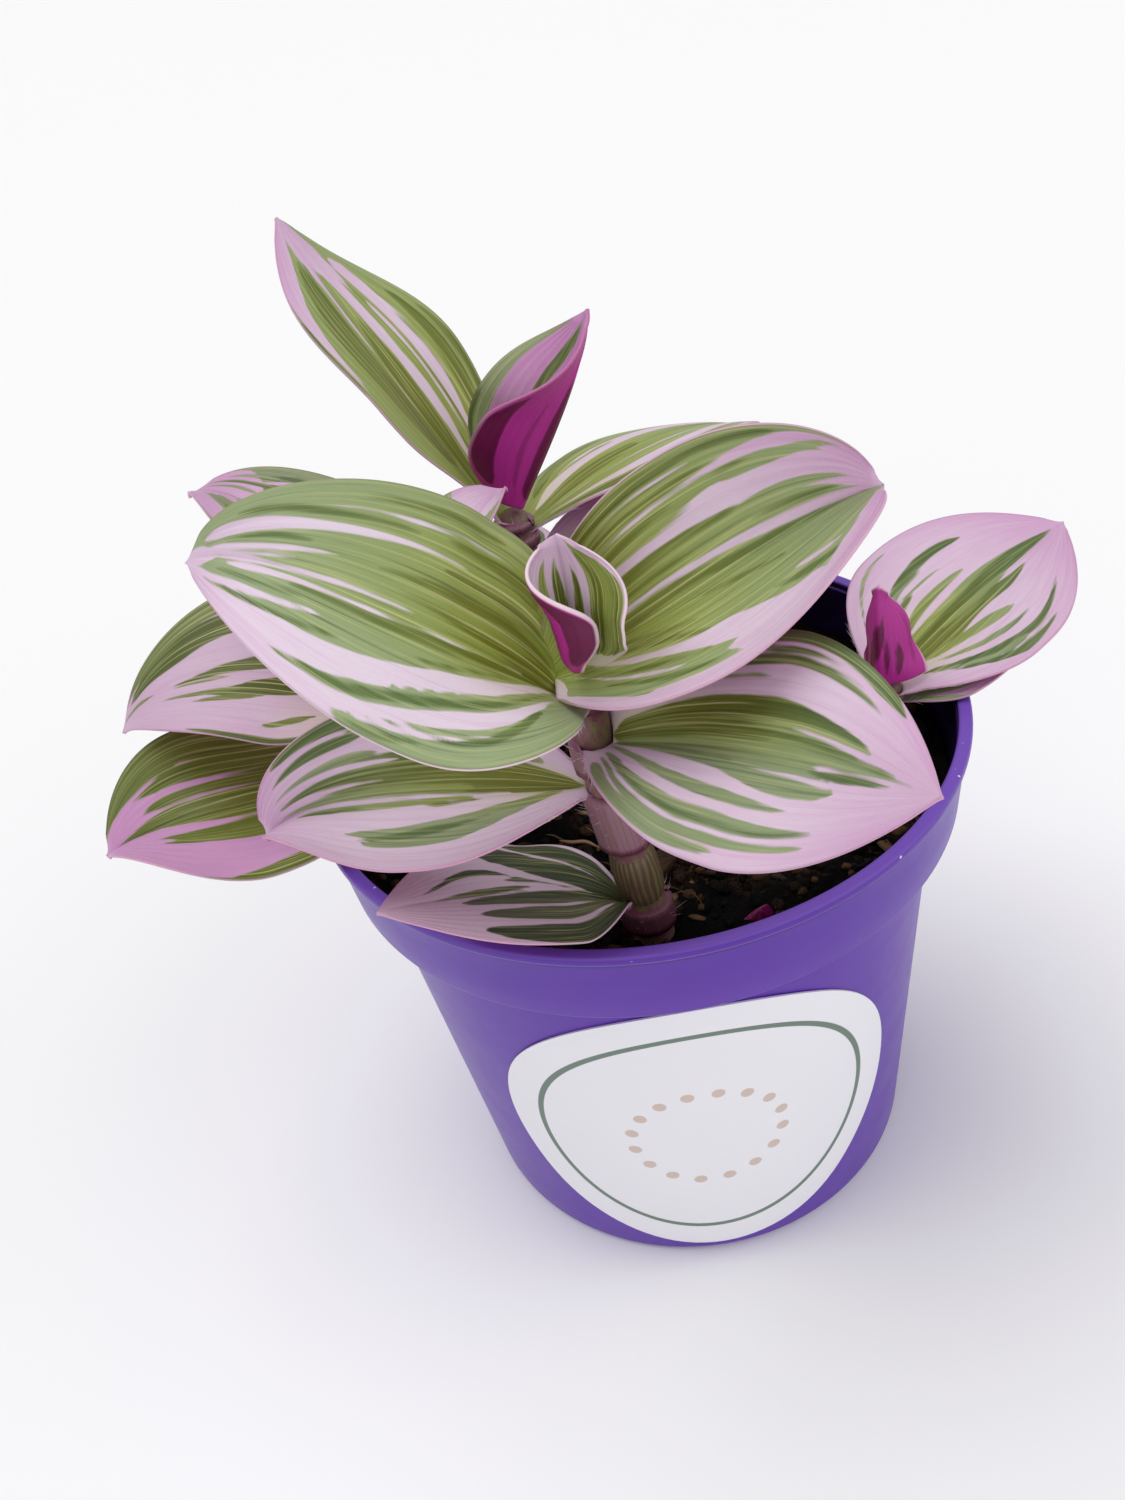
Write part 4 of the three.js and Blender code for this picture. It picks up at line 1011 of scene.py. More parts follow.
def blade_points(leaf, share, across):
    """The middle surface of a blade, row by row from its base, and half its width at each row."""
    heading, way = blade_direction(leaf, share)
    start = np.radians(leaf["heading"])
    foot = stem_point(leaf["shoot"], leaf["z"])
    foot = foot + leaf["reach"] * np.array([np.cos(start), np.sin(start), 0])
    strides = (way[1:] + way[:-1]) / 2 * leaf["length"] * np.diff(share)[:, None]
    middle = foot + np.vstack([np.zeros(3), np.cumsum(strides, axis=0)])
    roll = np.radians(leaf["roll"] + leaf["twist"] * share)[:, None]
    level = np.stack([-np.sin(heading), np.cos(heading), 0 * heading], -1)
    above = np.cross(way, level)
    left = level * np.cos(roll) + above * np.sin(roll)
    up = above * np.cos(roll) - level * np.sin(roll)
    width = blade_half_width(leaf, share)
    foldable = np.minimum(1, width / FORM["folds"])
    settled = smooth(share, 0, FORM["settled"])
    towards_tip = smooth(share, FORM["turning"], 1)
    outer = leaf["fold"] + (leaf["fold_tip"] - leaf["fold"]) * towards_tip
    fold = foldable * (leaf["fold_base"] * (1 - settled) + outer * settled)
    outer_curl = leaf["curl_base"] * (1 - settled) + leaf["curl"] * settled
    points = np.zeros((len(share), len(across), 3))
    centre = len(across) // 2
    points[:, centre] = middle
    for side in (1, -1):
        curl = foldable * (1 - leaf.get("opening", 0) * towards_tip) * (outer_curl + side * leaf["skew"])
        for step in range(1, centre + 1):
            here = centre + side * step
            reach = abs(across[here])
            stride = reach - abs(across[here - side])
            slope = np.radians(fold + curl * (reach - stride / 2))
            out = side * np.cos(slope)[:, None] * left + np.sin(slope)[:, None] * up
            points[:, here] = points[:, here - side] + (width * stride)[:, None] * out
    return points, width


def sheath_points(leaf, across, first_row):
    """Rows up the tube around the stem, then out through a throat to the blade's first row."""
    angles = np.radians(leaf["heading"] + SHEATH["wrap"] * across)
    count = max(2, round(leaf["sheath"] / SHEATH["row_spacing"]))
    rows = []
    for z in np.linspace(leaf["z"] - leaf["sheath"], leaf["z"] - 0.4, count):
        ribs = SHEATH["rib_height"] * np.cos(SHEATH["ribs"] * across)
        rows.append(level_ring(leaf["shoot"], z, stem_radius(z) + SHEATH["lift"] + ribs, angles))
    tube_rows = len(rows)
    mouth = rows[-1]
    for share in np.linspace(0, 1, SHEATH["throat_rows"] + 1)[1:-1]:
        eased = smooth(share, 0, 1)
        row = mouth * (1 - eased) + first_row * eased
        row[:, 2] = mouth[:, 2] * (1 - share) + first_row[:, 2] * share
        rows.append(row)
    return np.array(rows), tube_rows


def level_ring(shoot, z, radius, angles):
    """Points at headings around a stem, all at one height."""
    return ring_points(stem_point(shoot, z), radius, angles, np.array((1, 0, 0)), np.array((0, 1, 0)))


def sheet_normals(points):
    """Directions out of a grid of points, on the side that faces up on a blade."""
    along = np.gradient(points, axis=0)
    across = np.gradient(points, axis=1)
    return unit(np.cross(along, across))


def relief(leaf, share, across, width):
    """Height of the pleats, the groove on the midrib and the wave of the margins."""
    side = across[None, :]
    rows = share[:, None]
    calm = smooth(rows, 0, RELIEF["calm_base"]) * (1 - smooth(rows, RELIEF["calm_tip"], 1))
    turns = 2 * np.pi * RELIEF["pleats"] * np.abs(side) ** RELIEF["crowding"]
    pleats = RELIEF["pleat"] * np.cos(turns) * calm
    groove = -RELIEF["groove"] * np.exp(-((side * width[:, None] / RELIEF["groove_width"]) ** 2))
    phase = leaf["z"] + 2 * np.sign(side)
    ripple = RELIEF["ripple"] * np.sin(RELIEF["ripples"] * rows + phase) * np.abs(side) ** 3 * calm
    return pleats + groove * (1 - smooth(rows, RELIEF["groove_end"], 1)) + ripple


def eased(share, places, values):
    """Values between places on a smooth curve; flat beyond the first and the last."""
    slopes = np.gradient(np.array(values), np.array(places))
    share = np.clip(share, places[0], places[-1])
    index = np.clip(np.searchsorted(places, share, side="right") - 1, 0, len(places) - 2)
    start = np.array(places)[index]
    span = np.array(places)[index + 1] - start
    u = (share - start) / span
    before = np.array(values)[index]
    after = np.array(values)[index + 1]
    leave = slopes[index] * span
    arrive = slopes[index + 1] * span
    ahead = u * u * (3 - 2 * u)
    return before + (after - before) * ahead + leave * u * (1 - u) ** 2 - arrive * u * u * (1 - u)


def stripe_distance(points, share, across, width, length):
    """How far inside a stripe each point of the blade is, in millimetres; negative outside it."""
    places, centres, halves = np.array(points).T / 100
    centre = eased(share, places, centres)
    half = eased(share, places, halves)
    past_end = np.maximum(places[0] - share, share - places[-1]) * length
    ends = np.clip(-past_end / STRIPE_END, 0, 1) ** 0.5
    if places[-1] >= 1:
        ends = np.where(share > (places[0] + 1) / 2, 1, ends)
    cross = (half * ends)[:, None] - np.abs(across[None, :] - centre[:, None])
    return cross * width[:, None] - np.maximum(past_end, 0)[:, None]


def random_stripes(name):
    """Alternate pale and green stripes at random places."""
    order = random.Random(RANDOM_STRIPES["seed"] + sum(map(ord, name)))
    stripes = []
    for index in range(RANDOM_STRIPES["bands"]):
        place = 2 * index / (RANDOM_STRIPES["bands"] - 1) - 1
        shift = order.uniform(-RANDOM_STRIPES["shift"], RANDOM_STRIPES["shift"])
        centre = RANDOM_STRIPES["outermost"] * place + shift
        half = order.uniform(RANDOM_STRIPES["thin"], RANDOM_STRIPES["thick"])
        start = order.uniform(*RANDOM_STRIPES["start"])
        end = order.uniform(*RANDOM_STRIPES["end"])
        kind = order.choice(("deep", "sage", "pale"))
        middle = (start + end) / 2
        first = (start, centre * 0.8, half / 2)
        stripes.append((kind, first, (middle, centre, half), (end, centre, half / 2)))
    return order.choice(("pale", "sage")), order.uniform(*RANDOM_STRIPES["pinkness"]), stripes


def stripe_fields(name, share, across, width, length):
    """Distances in millimetres into all green and into deep green, and how pink the pale is."""
    ground, pinkness, stripes = STRIPES.get(name) or random_stripes(name)
    start = FAR_INSIDE if ground == "sage" else -FAR_INSIDE
    cover = np.full((len(share), len(across)), start)
    deep = np.full_like(cover, -FAR_INSIDE)
    for kind, *points in stripes:
        inside = stripe_distance(points, share, across, width, length)
        if kind == "pale":
            cover = np.minimum(cover, -inside)
        else:
            cover = np.maximum(cover, inside)
        deep = np.maximum(deep, inside) if kind == "deep" else np.minimum(deep, -inside)
    return cover, deep, pinkness


# A leaf's looks apart from its stripes: where its greens turn olive (the middle across it, how far to
# its sides and how far towards the tip), how far its colours darken as on an old leaf, partly for age and
# partly as painted shade on leaves that lie in shade, how strong the dark margin of its upper side is, and
# how strong the pale lip of its underside
PLAIN_LOOK = {"olive": (0, 0.8, 0.9), "age": 0.1, "rim": 0.25, "lip": 0.5}
LEAF_LOOKS = {
    "front_leaf_1": {"olive": (0, 0.3, 0.3), "age": 1.0, "rim": 0.1},
    "front_leaf_2": {"olive": (-0.15, 0.5, 0.9), "age": 0.2},
    "front_leaf_3": {"olive": (0.28, 0.42, 0.9), "age": 0.3, "rim": 0.12},
    "front_leaf_4": {"olive": (-0.35, 0.95, 0.85), "rim": 0.15, "lip": 0.9},
    "front_leaf_5": {"olive": (0.3, 1.3, 1.0), "rim": 0.3, "lip": 0.6},
    "front_leaf_6": {"olive": (0, 2, 3), "age": 0.4, "rim": 0.0, "lip": 1.0},
    "left_leaf_2": {"olive": (0, 2, 1.5), "age": 0.25},
    "left_leaf_3": {"olive": (0, 2, 1.5), "age": 0.6, "rim": 0.1},
    "left_leaf_4": {"age": 0.4},
    "left_leaf_5": {"age": 0.2},
    "back_leaf_3": {"olive": (0, 1.5, 1.1)},
    "back_leaf_4": {"olive": (0, 1.6, 1.3)},
    "back_leaf_5": {"lip": 0.2},
    "right_leaf_3": {"olive": (0, 0.6, 0.8), "age": 0.25},
    "right_leaf_4": {"rim": 0.2, "lip": 0.7},
}


def leaf_values(name, leaf, share, across, width):
    """Everything that the leaf's materials read at its points."""
    cover, deep, pinkness = stripe_fields(name, np.maximum(share, 0), across, width, leaf["length"])
    rows = np.maximum(share, 0)[:, None]
    side = np.abs(across)[None, :]
    look = {**PLAIN_LOOK, **LEAF_LOOKS.get(name, {})}
    middle, spread, reach = look["olive"]
    near_base = 1 - smooth(rows, 0.2 * reach, reach)
    near_middle = 1 - smooth(np.abs(across - middle)[None, :], 0.3 * spread, spread)
    tip = smooth(rows, 0.55, 1)
    from_edge = np.minimum((1 - side) * width[:, None], (1 - rows) * leaf["length"] * 0.6 + 0.05)
    blank = np.zeros_like(cover)
    return {
        "cover": cover, "deep": deep, "along": share[:, None] + blank, "across": across[None, :] + blank,
        "olive": near_base * near_middle + blank,
        "pink": np.clip(pinkness + 0.3 * tip + 0.15 * smooth(side, 0.6, 1), 0, 1.3) + blank,
        "edge": from_edge + blank,
        "seed": 3.7 * list(LEAVES).index(name), "age": look["age"], "rim": look["rim"], "lip": look["lip"],
    }


def add_leaf_sheet(shape, name, leaf):
    """The leaf as one closed thin sheet: a tube around the stem, a throat and the blade."""
    share = np.linspace(0, 1, BLADE["along"] + 1)
    across = np.linspace(-1, 1, BLADE["across"] + 1)
    points, width = blade_points(leaf, share, across)
    lift = relief(leaf, share, across, width)
    tube = np.zeros(len(share))
    foot = np.zeros(len(share))
    if leaf["sheath"] > 0:
        low_rows, tube_rows = sheath_points(leaf, across, points[0])
        extra = len(low_rows)
        points = np.concatenate([low_rows, points])
        share = np.concatenate([np.linspace(-0.02 * extra, -0.02, extra), share])
        width = np.concatenate([np.full(extra, width[0] + 2), width])
        lift = np.concatenate([np.zeros((extra, len(across))), lift])
        fade = np.linspace(1, 0.3, extra - tube_rows)
        tube = np.concatenate([np.ones(tube_rows), fade, np.zeros(len(tube))])
        tube += 0.3 * (1 - smooth(share, 0, 0.06)) * (share >= 0)
        foot = np.concatenate([1 - smooth(np.arange(tube_rows) * SHEATH["row_spacing"], 0.3, 1.4),
                               np.zeros(len(tube) - tube_rows)])
    up = sheet_normals(points)
    half = BLADE["middle"] + (BLADE["margin"] - BLADE["middle"]) * np.abs(across) ** 2
    keel = BLADE["keel"] * np.exp(-((across[None, :] * width[:, None]) ** 2))
    keel *= smooth(1 - share, 0.02, 0.4)[:, None]
    top = points + up * (half + lift)[..., None]
    low = points - up * (half - lift + keel)[..., None]
    values = leaf_values(name, leaf, share, across, width)
    values["tube"] = np.repeat(tube, len(across))
    values["foot"] = np.repeat(foot, len(across))
    rows = len(share)
    columns = len(across)
    shape.add(top, grid_faces(rows, columns, flip=True), 0, **values)
    shape.add(low, grid_faces(rows, columns), 1, **values)
    add_sheet_rim(shape, rows, columns)
    return points, up


def add_sheet_rim(shape, rows, columns):
    """Faces that close the gap between the two sides that were added last."""
    index = np.arange(rows * columns).reshape(rows, columns)
    loop = np.concatenate([index[0, :-1], index[:-1, -1], index[-1, :0:-1], index[:0:-1, 0]])
    after = np.roll(loop, -1)
    under = rows * columns
    start = shape.count - 2 * under
    faces = np.stack([loop, after, after + under, loop + under], -1) + start
    shape.faces.append(faces)
    shape.slots.append(np.full(len(faces), 1))


HAIR = {"count": 70, "length": (0.9, 2.1), "radius": 0.035, "bends": 4, "sides": 3, "on_margin": 0.55}


def add_hair(shape, root, way, order):
    """One fine hair: a thin bent cone."""
    length = order.uniform(*HAIR["length"])
    side = unit(np.cross(way, (0.3, 0.2, 0.9)))
    other = np.cross(way, side)
    droop = np.array([order.uniform(-0.3, 0.3), order.uniform(-0.3, 0.3), order.uniform(-0.2, 0.5)])
    rings = []
    for share in np.linspace(0, 1, HAIR["bends"]):
        centre = root + length * (share * way + share**2 * droop * 0.6)
        radius = HAIR["radius"] * (1 - 0.9 * share)
        for step in range(HAIR["sides"]):
            angle = 2 * math.pi * step / HAIR["sides"]
            rings.append(centre + radius * (math.cos(angle) * side + math.sin(angle) * other))
    shape.add(rings, grid_faces(HAIR["bends"], HAIR["sides"], closed=True), 2)


def add_leaf_hairs(shape, leaf, points, up, order):
    """Hairs on the mouth of the sheath and on the margins near the blade's base."""
    rows, columns = points.shape[:2]
    low_rows = rows - BLADE["along"] - 1
    for _ in range(HAIR["count"]):
        if order.random() < HAIR["on_margin"]:
            row = low_rows + int(order.uniform(-4, 0.09 * BLADE["along"]))
            column = order.choice((0, columns - 1))
        else:
            row = order.randrange(max(1, low_rows - 6))
            column = order.randrange(columns)
        axis = stem_point(leaf["shoot"], points[row, column][2])
        way = unit(points[row, column] - axis + np.array([0, 0, 1.5 + order.uniform(-1, 2)]))
        add_hair(shape, points[row, column], way, order)


def build_leaf(name, leaf, materials):
    order = random.Random(name)
    shape = Shape()
    points, up = add_leaf_sheet(shape, name, leaf)
    if leaf["sheath"] > 0:
        add_leaf_hairs(shape, leaf, points, up, order)
    return install(shape.make(f"fine_{name}", materials), "leaf", name)


# Pot: a round profile with rounded corners, turned about the axis
def rounded(corners, radius):
    """A profile whose corners are replaced with short arcs; each corner is (radius, z, round it?)."""
    points = []
    for index, (x, z, soft) in enumerate(corners):
        corner = np.array((x, z), float)
        if not soft:
            points.append(corner)
            continue
        before = np.array(corners[index - 1][:2], float) - corner
        after = np.array(corners[index + 1][:2], float) - corner
        size = min(radius, np.linalg.norm(before) / 2.2, np.linalg.norm(after) / 2.2)
        start = corner + unit(before) * size
        end = corner + unit(after) * size
        for share in np.linspace(0, 1, POT["round_points"]):
            points.append((1 - share) ** 2 * start + 2 * share * (1 - share) * corner + share**2 * end)
    return np.array(points)


def pot_profile():
    shelf = POT["step_height"] + POT["wall"]
    wall = POT["wall"]
    corners = [
        (POT["floor_edge"], 0, False),
        (POT["base_radius"] - POT["base_chamfer"], 0, True),
        (POT["base_radius"], POT["base_chamfer"], True),
        (POT["body_top_radius"], POT["step_height"], True),
        (POT["collar_foot_radius"], POT["step_height"], True),
        (POT["collar_top_radius"], POT["bead_foot"], True),
        (POT["rim_radius"], POT["bead_foot"] + 0.3, True),
        (POT["rim_radius"], POT["height"], True),
        (POT["collar_top_radius"] - wall, POT["height"], True),
        (POT["collar_foot_radius"] - wall, shelf, True),
        (POT["body_top_radius"] - wall, shelf, True),
        (POT["base_radius"] - wall, POT["floor"], False),
        (POT["floor_edge"], POT["floor"], False),
    ]
    return evened(rounded(corners, POT["rounding"]), POT["longest_face"])


def evened(profile, longest):
    """The same profile with more points on its long straight parts."""
    points = [profile[0]]
    for start, end in zip(profile, profile[1:]):
        pieces = max(1, math.ceil(np.linalg.norm(end - start) / longest))
        points.extend(start + (end - start) * step / pieces for step in range(1, pieces + 1))
    return np.array(points)


def build_pot(material):
    profile = pot_profile()
    angles = around(POT["sides"])
    turned = np.stack([
        profile[:, :1] * np.cos(angles), profile[:, :1] * np.sin(angles),
        np.repeat(profile[:, 1:], len(angles), axis=1),
    ], -1)
    inner_from = np.argmax(profile[:, 1] >= POT["height"] - 0.01)
    inner = np.repeat((np.arange(len(profile)) > inner_from + 2).astype(float), len(angles))
    shape = Shape()
    shape.add(turned, grid_faces(len(profile), len(angles), closed=True), inner=inner)
    add_drained_floor(shape)
    return install(shape.make("fine_pot", [material], sharp=SHARP_EDGE), "pot", "pot")


def add_drained_floor(shape):
    """The base's middle: a disc with a ring of drain holes, as wedges around each hole."""
    wedge = 2 * math.pi / POT["drain_count"]
    for index in range(POT["drain_count"]):
        middle = (index + 0.5) * wedge
        centre = POT["drain_circle"] * np.array([math.cos(middle), math.sin(middle)])
        hole = []
        border = []
        for turn in around(POT["drain_sides"]):
            spoke = np.array([math.cos(turn), math.sin(turn)])
            hole.append(centre + POT["drain_radius"] * spoke)
            border.append(wedge_border(centre, spoke, middle, wedge))
        rows = []
        for z, loop in ((0, border), (0, hole), (POT["floor"], hole), (POT["floor"], border)):
            rows.append([(x, y, z) for x, y in loop])
        faces = grid_faces(len(rows), POT["drain_sides"], closed=True, flip=True)
        shape.add(np.array(rows), faces, inner=0)


def wedge_border(start, spoke, middle, wedge):
    """Where a ray from a drain hole leaves the wedge of the disc that holds the hole."""
    reach = math.inf
    for angle in (middle - wedge / 2, middle + wedge / 2):
        normal = np.array([-math.sin(angle), math.cos(angle)])
        speed = spoke @ normal
        if abs(speed) > 1e-9:
            distance = -(start @ normal) / speed
            if distance > 0:
                reach = min(reach, distance)
    along = start @ spoke
    edge = -along + math.sqrt(along * along + POT["floor_edge"] ** 2 - start @ start)
    return start + min(reach, edge) * spoke


# Label: a flat disc, unrolled from the cone of the pot's body and wrapped back on it
def pot_outer_radius(z):
    share = (z - POT["base_chamfer"]) / (POT["step_height"] - POT["base_chamfer"])
    return POT["base_radius"] + (POT["body_top_radius"] - POT["base_radius"]) * share


def label_point(across, up, lift):
    slope = (POT["body_top_radius"] - POT["base_radius"]) / (POT["step_height"] - POT["base_chamfer"])
    tilt = math.atan(slope)
    middle = pot_outer_radius(LABEL["height"]) / math.sin(tilt)
    reach = np.hypot(across, middle + up)
    turn = np.arctan2(across, middle + up) / math.sin(tilt)
    radius = reach * math.sin(tilt) + lift * math.cos(tilt)
    z = LABEL["height"] + (reach - middle) * math.cos(tilt) - lift * math.sin(tilt)
    return np.stack([radius * np.sin(turn), -radius * np.cos(turn), z], -1)


def build_label(material):
    radii = LABEL["radius"] * np.linspace(0.001, 1, LABEL["rings"])
    angles = around(LABEL["sides"])
    flat_x = radii[:, None] * np.cos(angles)
    flat_y = radii[:, None] * np.sin(angles)
    loose = smooth(radii, LABEL["flat_radius"], LABEL["radius"])[:, None]
    wave = LABEL["wave"] * loose * (1 + np.sin(7 * angles) * np.sin(2 * angles))
    near = label_point(flat_x, flat_y, LABEL["low"] + wave)
    far = label_point(flat_x, flat_y, LABEL["high"] + wave)
    points = np.concatenate([near, far[::-1]])
    x = np.concatenate([flat_x, flat_x[::-1]])
    y = np.concatenate([flat_y, flat_y[::-1]])
    shape = Shape()
    faces = grid_faces(2 * LABEL["rings"], LABEL["sides"], closed=True)
    shape.add(points, faces, flat_x=x, flat_y=y)
    return install(shape.make("fine_label", [material], sharp=SHARP_EDGE), "label", "label")


# Soil: its lumps are crumbs and slivers of bark, and its fibres are threads
LUMP = {"roughness": 0.45, "grain": 1.3, "raised": 0.25, "margin": 2}
FIBRE = {
    "margin": 5, "length": (2, 7), "turn": (-1.2, 1.2), "radius": (0.06, 0.16), "bends": 7,
    "lift": 0.35, "arch": 0.5, "tone": (0.3, 1),
}
THREAD_SIDES = 5
SOIL_EDGE = POT["collar_foot_radius"] - POT["wall"] - GAP


def soil_height(radius, angle):
    calm = smooth(radius, 0, SOIL["calm_centre"])
    calm *= 1 - smooth(radius, SOIL_EDGE - SOIL["calm_edge"], SOIL_EDGE)
    ripple = sum(
        share * np.sin(crests * angle + twist * radius + phase)
        for crests, twist, phase, share in SOIL["waves"]
    )
    return SOIL["level"] + SOIL["relief"] * calm * ripple


def crumbly(x, y):
    """Fine unevenness of the soil in millimetres."""
    value = 0
    for scale, height in SOIL["unevenness"]:
        value += height * noise.noise(Vector((x * scale, y * scale, 10 * scale)))
    return value


def build_soil(materials):
    radii = SOIL_EDGE * np.linspace(1, 0.004, SOIL["rings"])
    angles = around(SOIL["sides"])
    radius, angle = np.meshgrid(radii, angles, indexing="ij")
    x = radius * np.cos(angle)
    y = radius * np.sin(angle)
    z = soil_height(radius, angle) + np.vectorize(crumbly)(x, y)
    top = np.stack([x, y, z], -1)
    bottom = top[:1].copy()
    bottom[..., 2] = POT["step_height"] + POT["wall"] + GAP
    shape = Shape()
    faces = grid_faces(len(radii) + 1, len(angles), closed=True)
    shape.add(np.concatenate([bottom, top]), faces, 0, tone=0)
    order = random.Random(SOIL["seed"])
    lump = rough_lump()
    for _ in range(SOIL["crumbs"]):
        size = order.uniform(0.3, 1) ** 1.6 * SOIL["crumb_size"]
        add_lump(shape, lump, order, 1, size, SOIL["crumb_stretch"])
    for _ in range(SOIL["slivers"]):
        add_lump(shape, lump, order, 2, order.uniform(*SOIL["sliver_size"]), SOIL["sliver_stretch"])
    for _ in range(SOIL["fibres"]):
        add_fibre(shape, order)
    add_chips(shape)
    return install(shape.make("fine_soil", materials), "soil", "soil")


def rough_lump():
    """An icosphere's points and faces, to be copied for each crumb."""
    bpy.ops.mesh.primitive_ico_sphere_add(subdivisions=2, radius=1)
    ball = bpy.context.object
    points = np.array([vertex.co[:] for vertex in ball.data.vertices])
    faces = np.array([face.vertices[:] for face in ball.data.polygons])
    bpy.data.objects.remove(ball)
    return points, faces


def turned(points, order):
    """Points turned a random way."""
    spin = Matrix.Rotation(order.uniform(0, 2 * math.pi), 3, "Z")
    tilt = Matrix.Rotation(order.uniform(-0.6, 0.6), 3, "X")
    return points @ np.array(spin @ tilt).T


def soil_place(order, margin):
    radius = (SOIL_EDGE - margin) * math.sqrt(order.random())
    angle = order.uniform(0, 2 * math.pi)
    x = radius * math.cos(angle)
    y = radius * math.sin(angle)
    return np.array([x, y, soil_height(radius, angle) + crumbly(x, y)])


def add_lump(shape, lump, order, slot, size, stretch):
    points, faces = lump
    offset = order.uniform(0, 100)
    swell = [
        1 + LUMP["roughness"] * noise.noise(Vector(point * LUMP["grain"]) + Vector((offset, 0, 0)))
        for point in points
    ]
    body = turned(points * np.array(swell)[:, None] * np.array(stretch) * size, order)
    place = soil_place(order, LUMP["margin"])
    place[2] += LUMP["raised"] * size
    shape.add(body + place, faces, slot, tone=order.uniform(0, 1))


def add_fibre(shape, order):
    """A thin bent thread of bark or root that lies on the soil."""
    start = soil_place(order, FIBRE["margin"])
    heading = order.uniform(0, 2 * math.pi)
    length = order.uniform(*FIBRE["length"])
    turn = order.uniform(*FIBRE["turn"])
    radius = order.uniform(*FIBRE["radius"])
    path = []
    for share in np.linspace(0, 1, FIBRE["bends"]):
        angle = heading + turn * share
        step = length * share
        x = start[0] + step * math.cos(angle)
        y = start[1] + step * math.sin(angle)
        distance = min(math.hypot(x, y), SOIL_EDGE - 1)
        angle = math.atan2(y, x)
        lift = FIBRE["lift"] + FIBRE["arch"] * math.sin(math.pi * share) * order.uniform(0.2, 1)
        path.append((distance * math.cos(angle), distance * math.sin(angle),
                     soil_height(distance, angle) + lift))
    add_thread(shape, np.array(path), radius, 2, order.uniform(*FIBRE["tone"]))


def add_thread(shape, path, radius, slot, tone):
    """A thin tapered tube along a path."""
    way = unit(np.gradient(path, axis=0))
    side = unit(np.cross(way, (0, 0.1, 1)))
    other = np.cross(way, side)
    taper = radius * (1 - 0.8 * np.abs(np.linspace(-1, 1, len(path))) ** 3)
    angles = around(THREAD_SIDES)
    rings = [
        ring_points(point, size, angles, right, back)
        for point, size, right, back in zip(path, taper, side, other)
    ]
    shape.add(np.concatenate(rings), grid_faces(len(path), THREAD_SIDES, closed=True), slot, tone=tone)


def part_random(seed):
    """The same repeatable numbers between 0 and 1 as the part's own."""
    factor = 16807
    modulus = 2147483647
    state = seed
    while True:
        state = state * factor % modulus
        yield state / modulus


def add_chips(shape):
    """The bark chips that the part has, with chipped and rounded corners."""
    numbers = part_random(SOIL["seed"])
    points, faces = rough_lump()
    boxy = np.sign(points) * np.abs(points) ** 0.45
    for index in range(SOIL["chips"]):
        radius = (SOIL_EDGE - SOIL["chip_margin"]) * math.sqrt(next(numbers))
        angle = 2 * math.pi * next(numbers)
        size = SOIL["chip_smallest"] + (SOIL["chip_largest"] - SOIL["chip_smallest"]) * next(numbers)
        length = SOIL["chip_length"] * size
        width = SOIL["chip_width"] * size
        sides = np.array([length, width, SOIL["chip_thickness"]]) / 2
        tilt_x = SOIL["chip_tilt"] * (2 * next(numbers) - 1)
        tilt_y = SOIL["chip_tilt"] * (2 * next(numbers) - 1)
        spin = 2 * math.pi * next(numbers)
        turn = Matrix.Rotation(tilt_y, 3, "Y") @ Matrix.Rotation(tilt_x, 3, "X")
        turn = Matrix.Rotation(spin, 3, "Z") @ turn
        rough = [1 + 0.2 * noise.noise(Vector(point * 2) + Vector((index, 0, 0))) for point in points]
        body = (boxy * np.array(rough)[:, None] * sides) @ np.array(turn).T
        place = (radius * math.cos(angle), radius * math.sin(angle), soil_height(radius, angle))
        shape.add(body + place, faces, 2, tone=0.2 + 0.6 * (index % 4) / 3)


# Sprout: a leaf tip rolled into a flattened spindle that leans towards +X, and the dry root strand
SPROUT = {
    "foot": (9.8, -33.5, 64.8), "length": 4.9, "radius": 3.2, "flatness": 0.42, "lean": 20,
    "rows": 24, "sides": 28,
}
ROOT_STRAND = [(-12.7, -12.7, 67.3), (-11, -14.2, 67.9), (-9.2, -14.6, 67.9), (-7.5, -15.7, 67.4)]
ROOT_RADIUS = 0.28


def build_sprout(material):
    rows = SPROUT["rows"]
    sides = SPROUT["sides"]
    angles = around(sides)
    lean = np.array(Matrix.Rotation(math.radians(SPROUT["lean"]), 3, "Y"))
    rings = []
    for share in np.linspace(0, 1, rows):
        radius = SPROUT["radius"] * (1 - share) ** 0.75 + 0.02
        roll = 1 + 0.06 * np.cos(9 * angles + 6 * share)
        ring = np.stack([
            radius * roll * np.cos(angles), SPROUT["flatness"] * radius * roll * np.sin(angles),
            np.full(sides, SPROUT["length"] * share),
        ], -1)
        rings.append(ring @ lean.T + SPROUT["foot"])
    shape = Shape()
    shape.add(np.concatenate(rings), grid_faces(rows, sides, closed=True))
    return install(shape.make("fine_sprout", [material]), "sprout", "sprout")


def build_root_strand(material):
    shape = Shape()
    path = shoot_line(ROOT_STRAND)[::20]
    add_thread(shape, path, ROOT_RADIUS, 0, 0.5)
    return install(shape.make("root_strand", [material]), "soil")


# Stage
FLOOR_HALF = 3000
SKY = (1.0, 1.0, 1.0)
LAMPS = {
    "key_light": {"place": (-300, 150, 1000), "spread": 55, "power": 1.38},
    "fill_light": {"place": (900, -500, 700), "spread": 70, "power": 0.7},
    "front_light": {"place": (-200, -1000, 500), "spread": 60, "power": 0.4},
}
SKY_STRENGTH = 0.44
LAMP_AIM = (0, 0, 80)


def build_floor():
    shape = Shape()
    side = np.array([(-1, -1), (1, -1), (1, 1), (-1, 1)]) * FLOOR_HALF
    corners = [(x, y, 0) for x, y in side]
    shape.add(corners, [(0, 1, 2, 3)])
    shape.make("floor", [floor_material()])


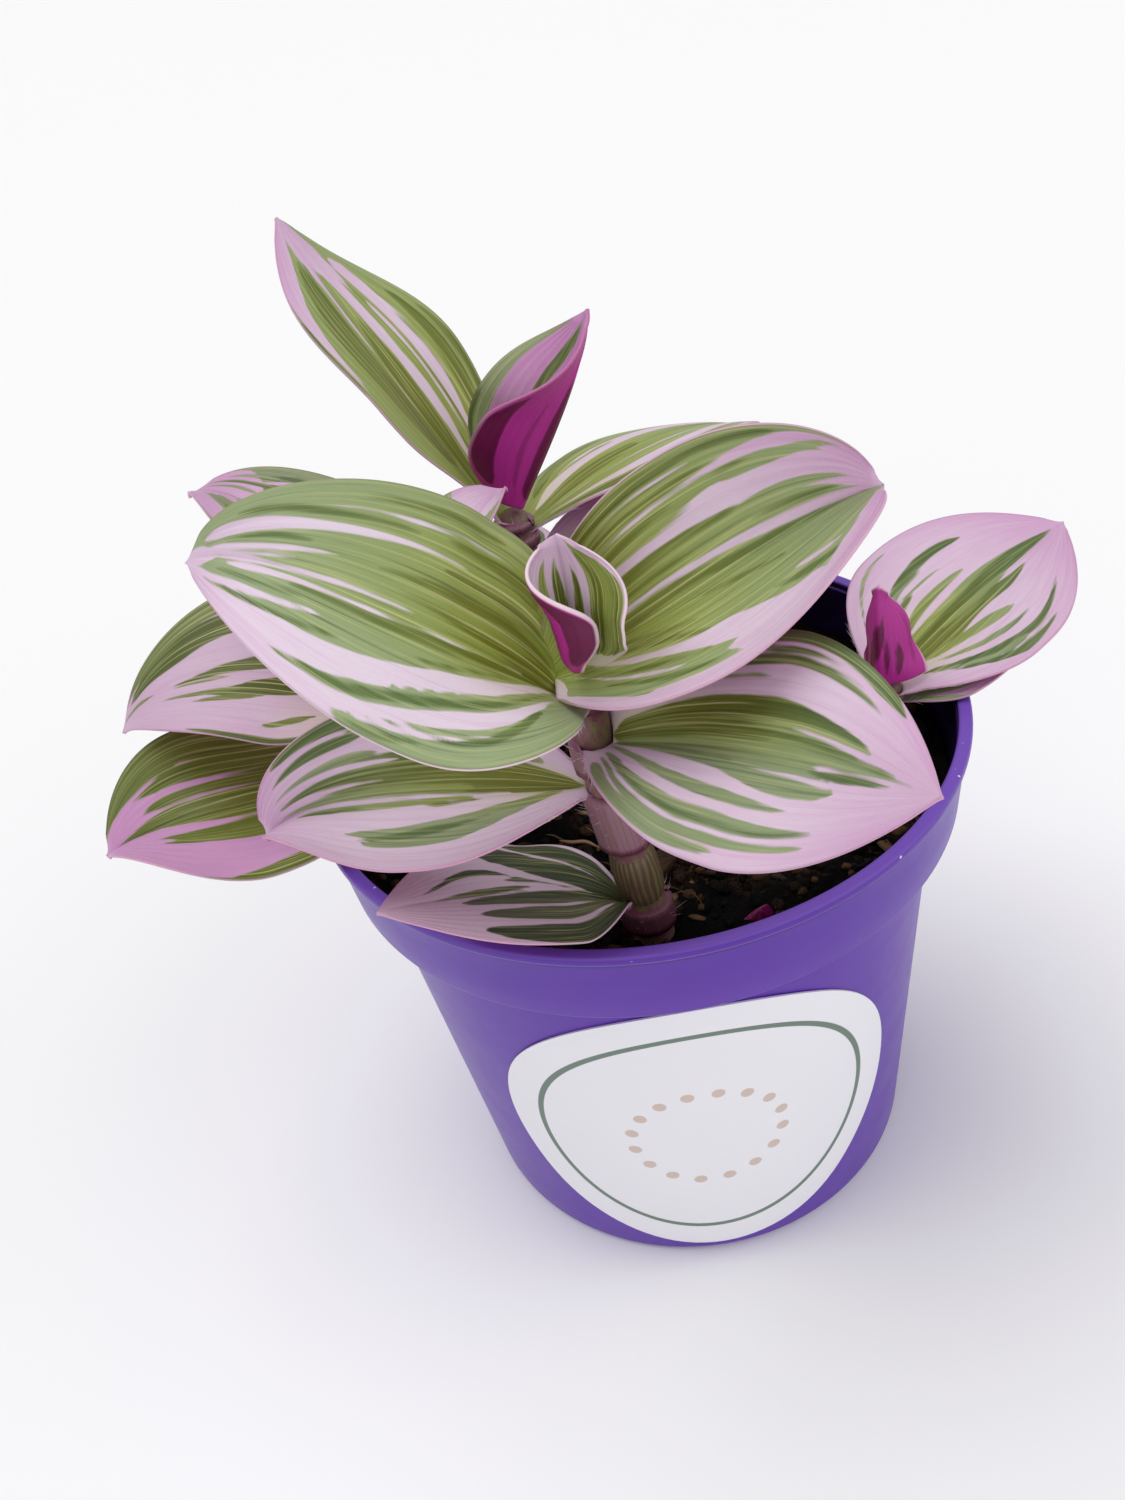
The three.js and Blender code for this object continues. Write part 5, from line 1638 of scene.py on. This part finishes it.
def build_sky():
    world = bpy.data.worlds.new("studio")
    world.use_nodes = True
    background = world.node_tree.nodes["Background"]
    background.inputs["Color"].default_value = (*SKY, 1)
    background.inputs["Strength"].default_value = SKY_STRENGTH
    bpy.context.scene.world = world


def build_lamps():
    aim = Vector(LAMP_AIM)
    for name, lamp in LAMPS.items():
        light = bpy.data.lights.new(name, "SUN")
        light.angle = math.radians(lamp["spread"])
        light.energy = lamp["power"]
        piece = bpy.data.objects.new(name, light)
        place = Vector(lamp["place"])
        piece.location = place * MM
        piece.rotation_euler = (aim - place).to_track_quat("-Z", "Y").to_euler()
        bpy.context.scene.collection.objects.link(piece)


def build_camera():
    """The photo's camera: it looks down at the plant, rolled about its line of sight."""
    pitch = math.radians(CAMERA["elevation"])
    roll = math.radians(CAMERA["roll"])
    forward = Vector((0, math.cos(pitch), -math.sin(pitch)))
    level_right = Vector((1, 0, 0))
    level_up = level_right.cross(forward)
    right = math.cos(roll) * level_right + math.sin(roll) * level_up
    up = math.cos(roll) * level_up - math.sin(roll) * level_right
    place = Vector((0, 0, CAMERA["target"])) - CAMERA["distance"] * forward + CAMERA["aside"] * right
    frame_matrix = Matrix((right, up, -forward)).transposed().to_4x4()
    frame_matrix.translation = place * MM
    spin = Matrix.Rotation(math.radians(CAMERA["azimuth"]), 4, "Z")
    lens = bpy.data.cameras.new("camera")
    lens.sensor_width = CAMERA["sensor"]
    lens.lens = CAMERA["sensor"] * CAMERA["focal"] / CAMERA["photo_height"]
    lens.clip_start = CAMERA["nearest"]
    camera = bpy.data.objects.new("camera", lens)
    camera.matrix_world = spin @ frame_matrix
    bpy.context.scene.collection.objects.link(camera)
    bpy.context.scene.camera = camera


build_camera()
build_sky()
build_lamps()
build_floor()
bpy.context.scene.view_settings.view_transform = "Standard"

build_pot(pot_material())
build_label(label_material())
build_soil([soil_material(), crumb_material(), bark_material()])
stem_look = stem_material()
for shoot_name in SHOOTS:
    build_stem(shoot_name, stem_look)
leaf_looks = [leaf_upper_material(), leaf_under_material(), hair_material()]
for leaf_name, leaf_entry in LEAVES.items():
    build_leaf(leaf_name, leaf_entry, leaf_looks)
build_sprout(sprout_material())
build_root_strand(root_material())
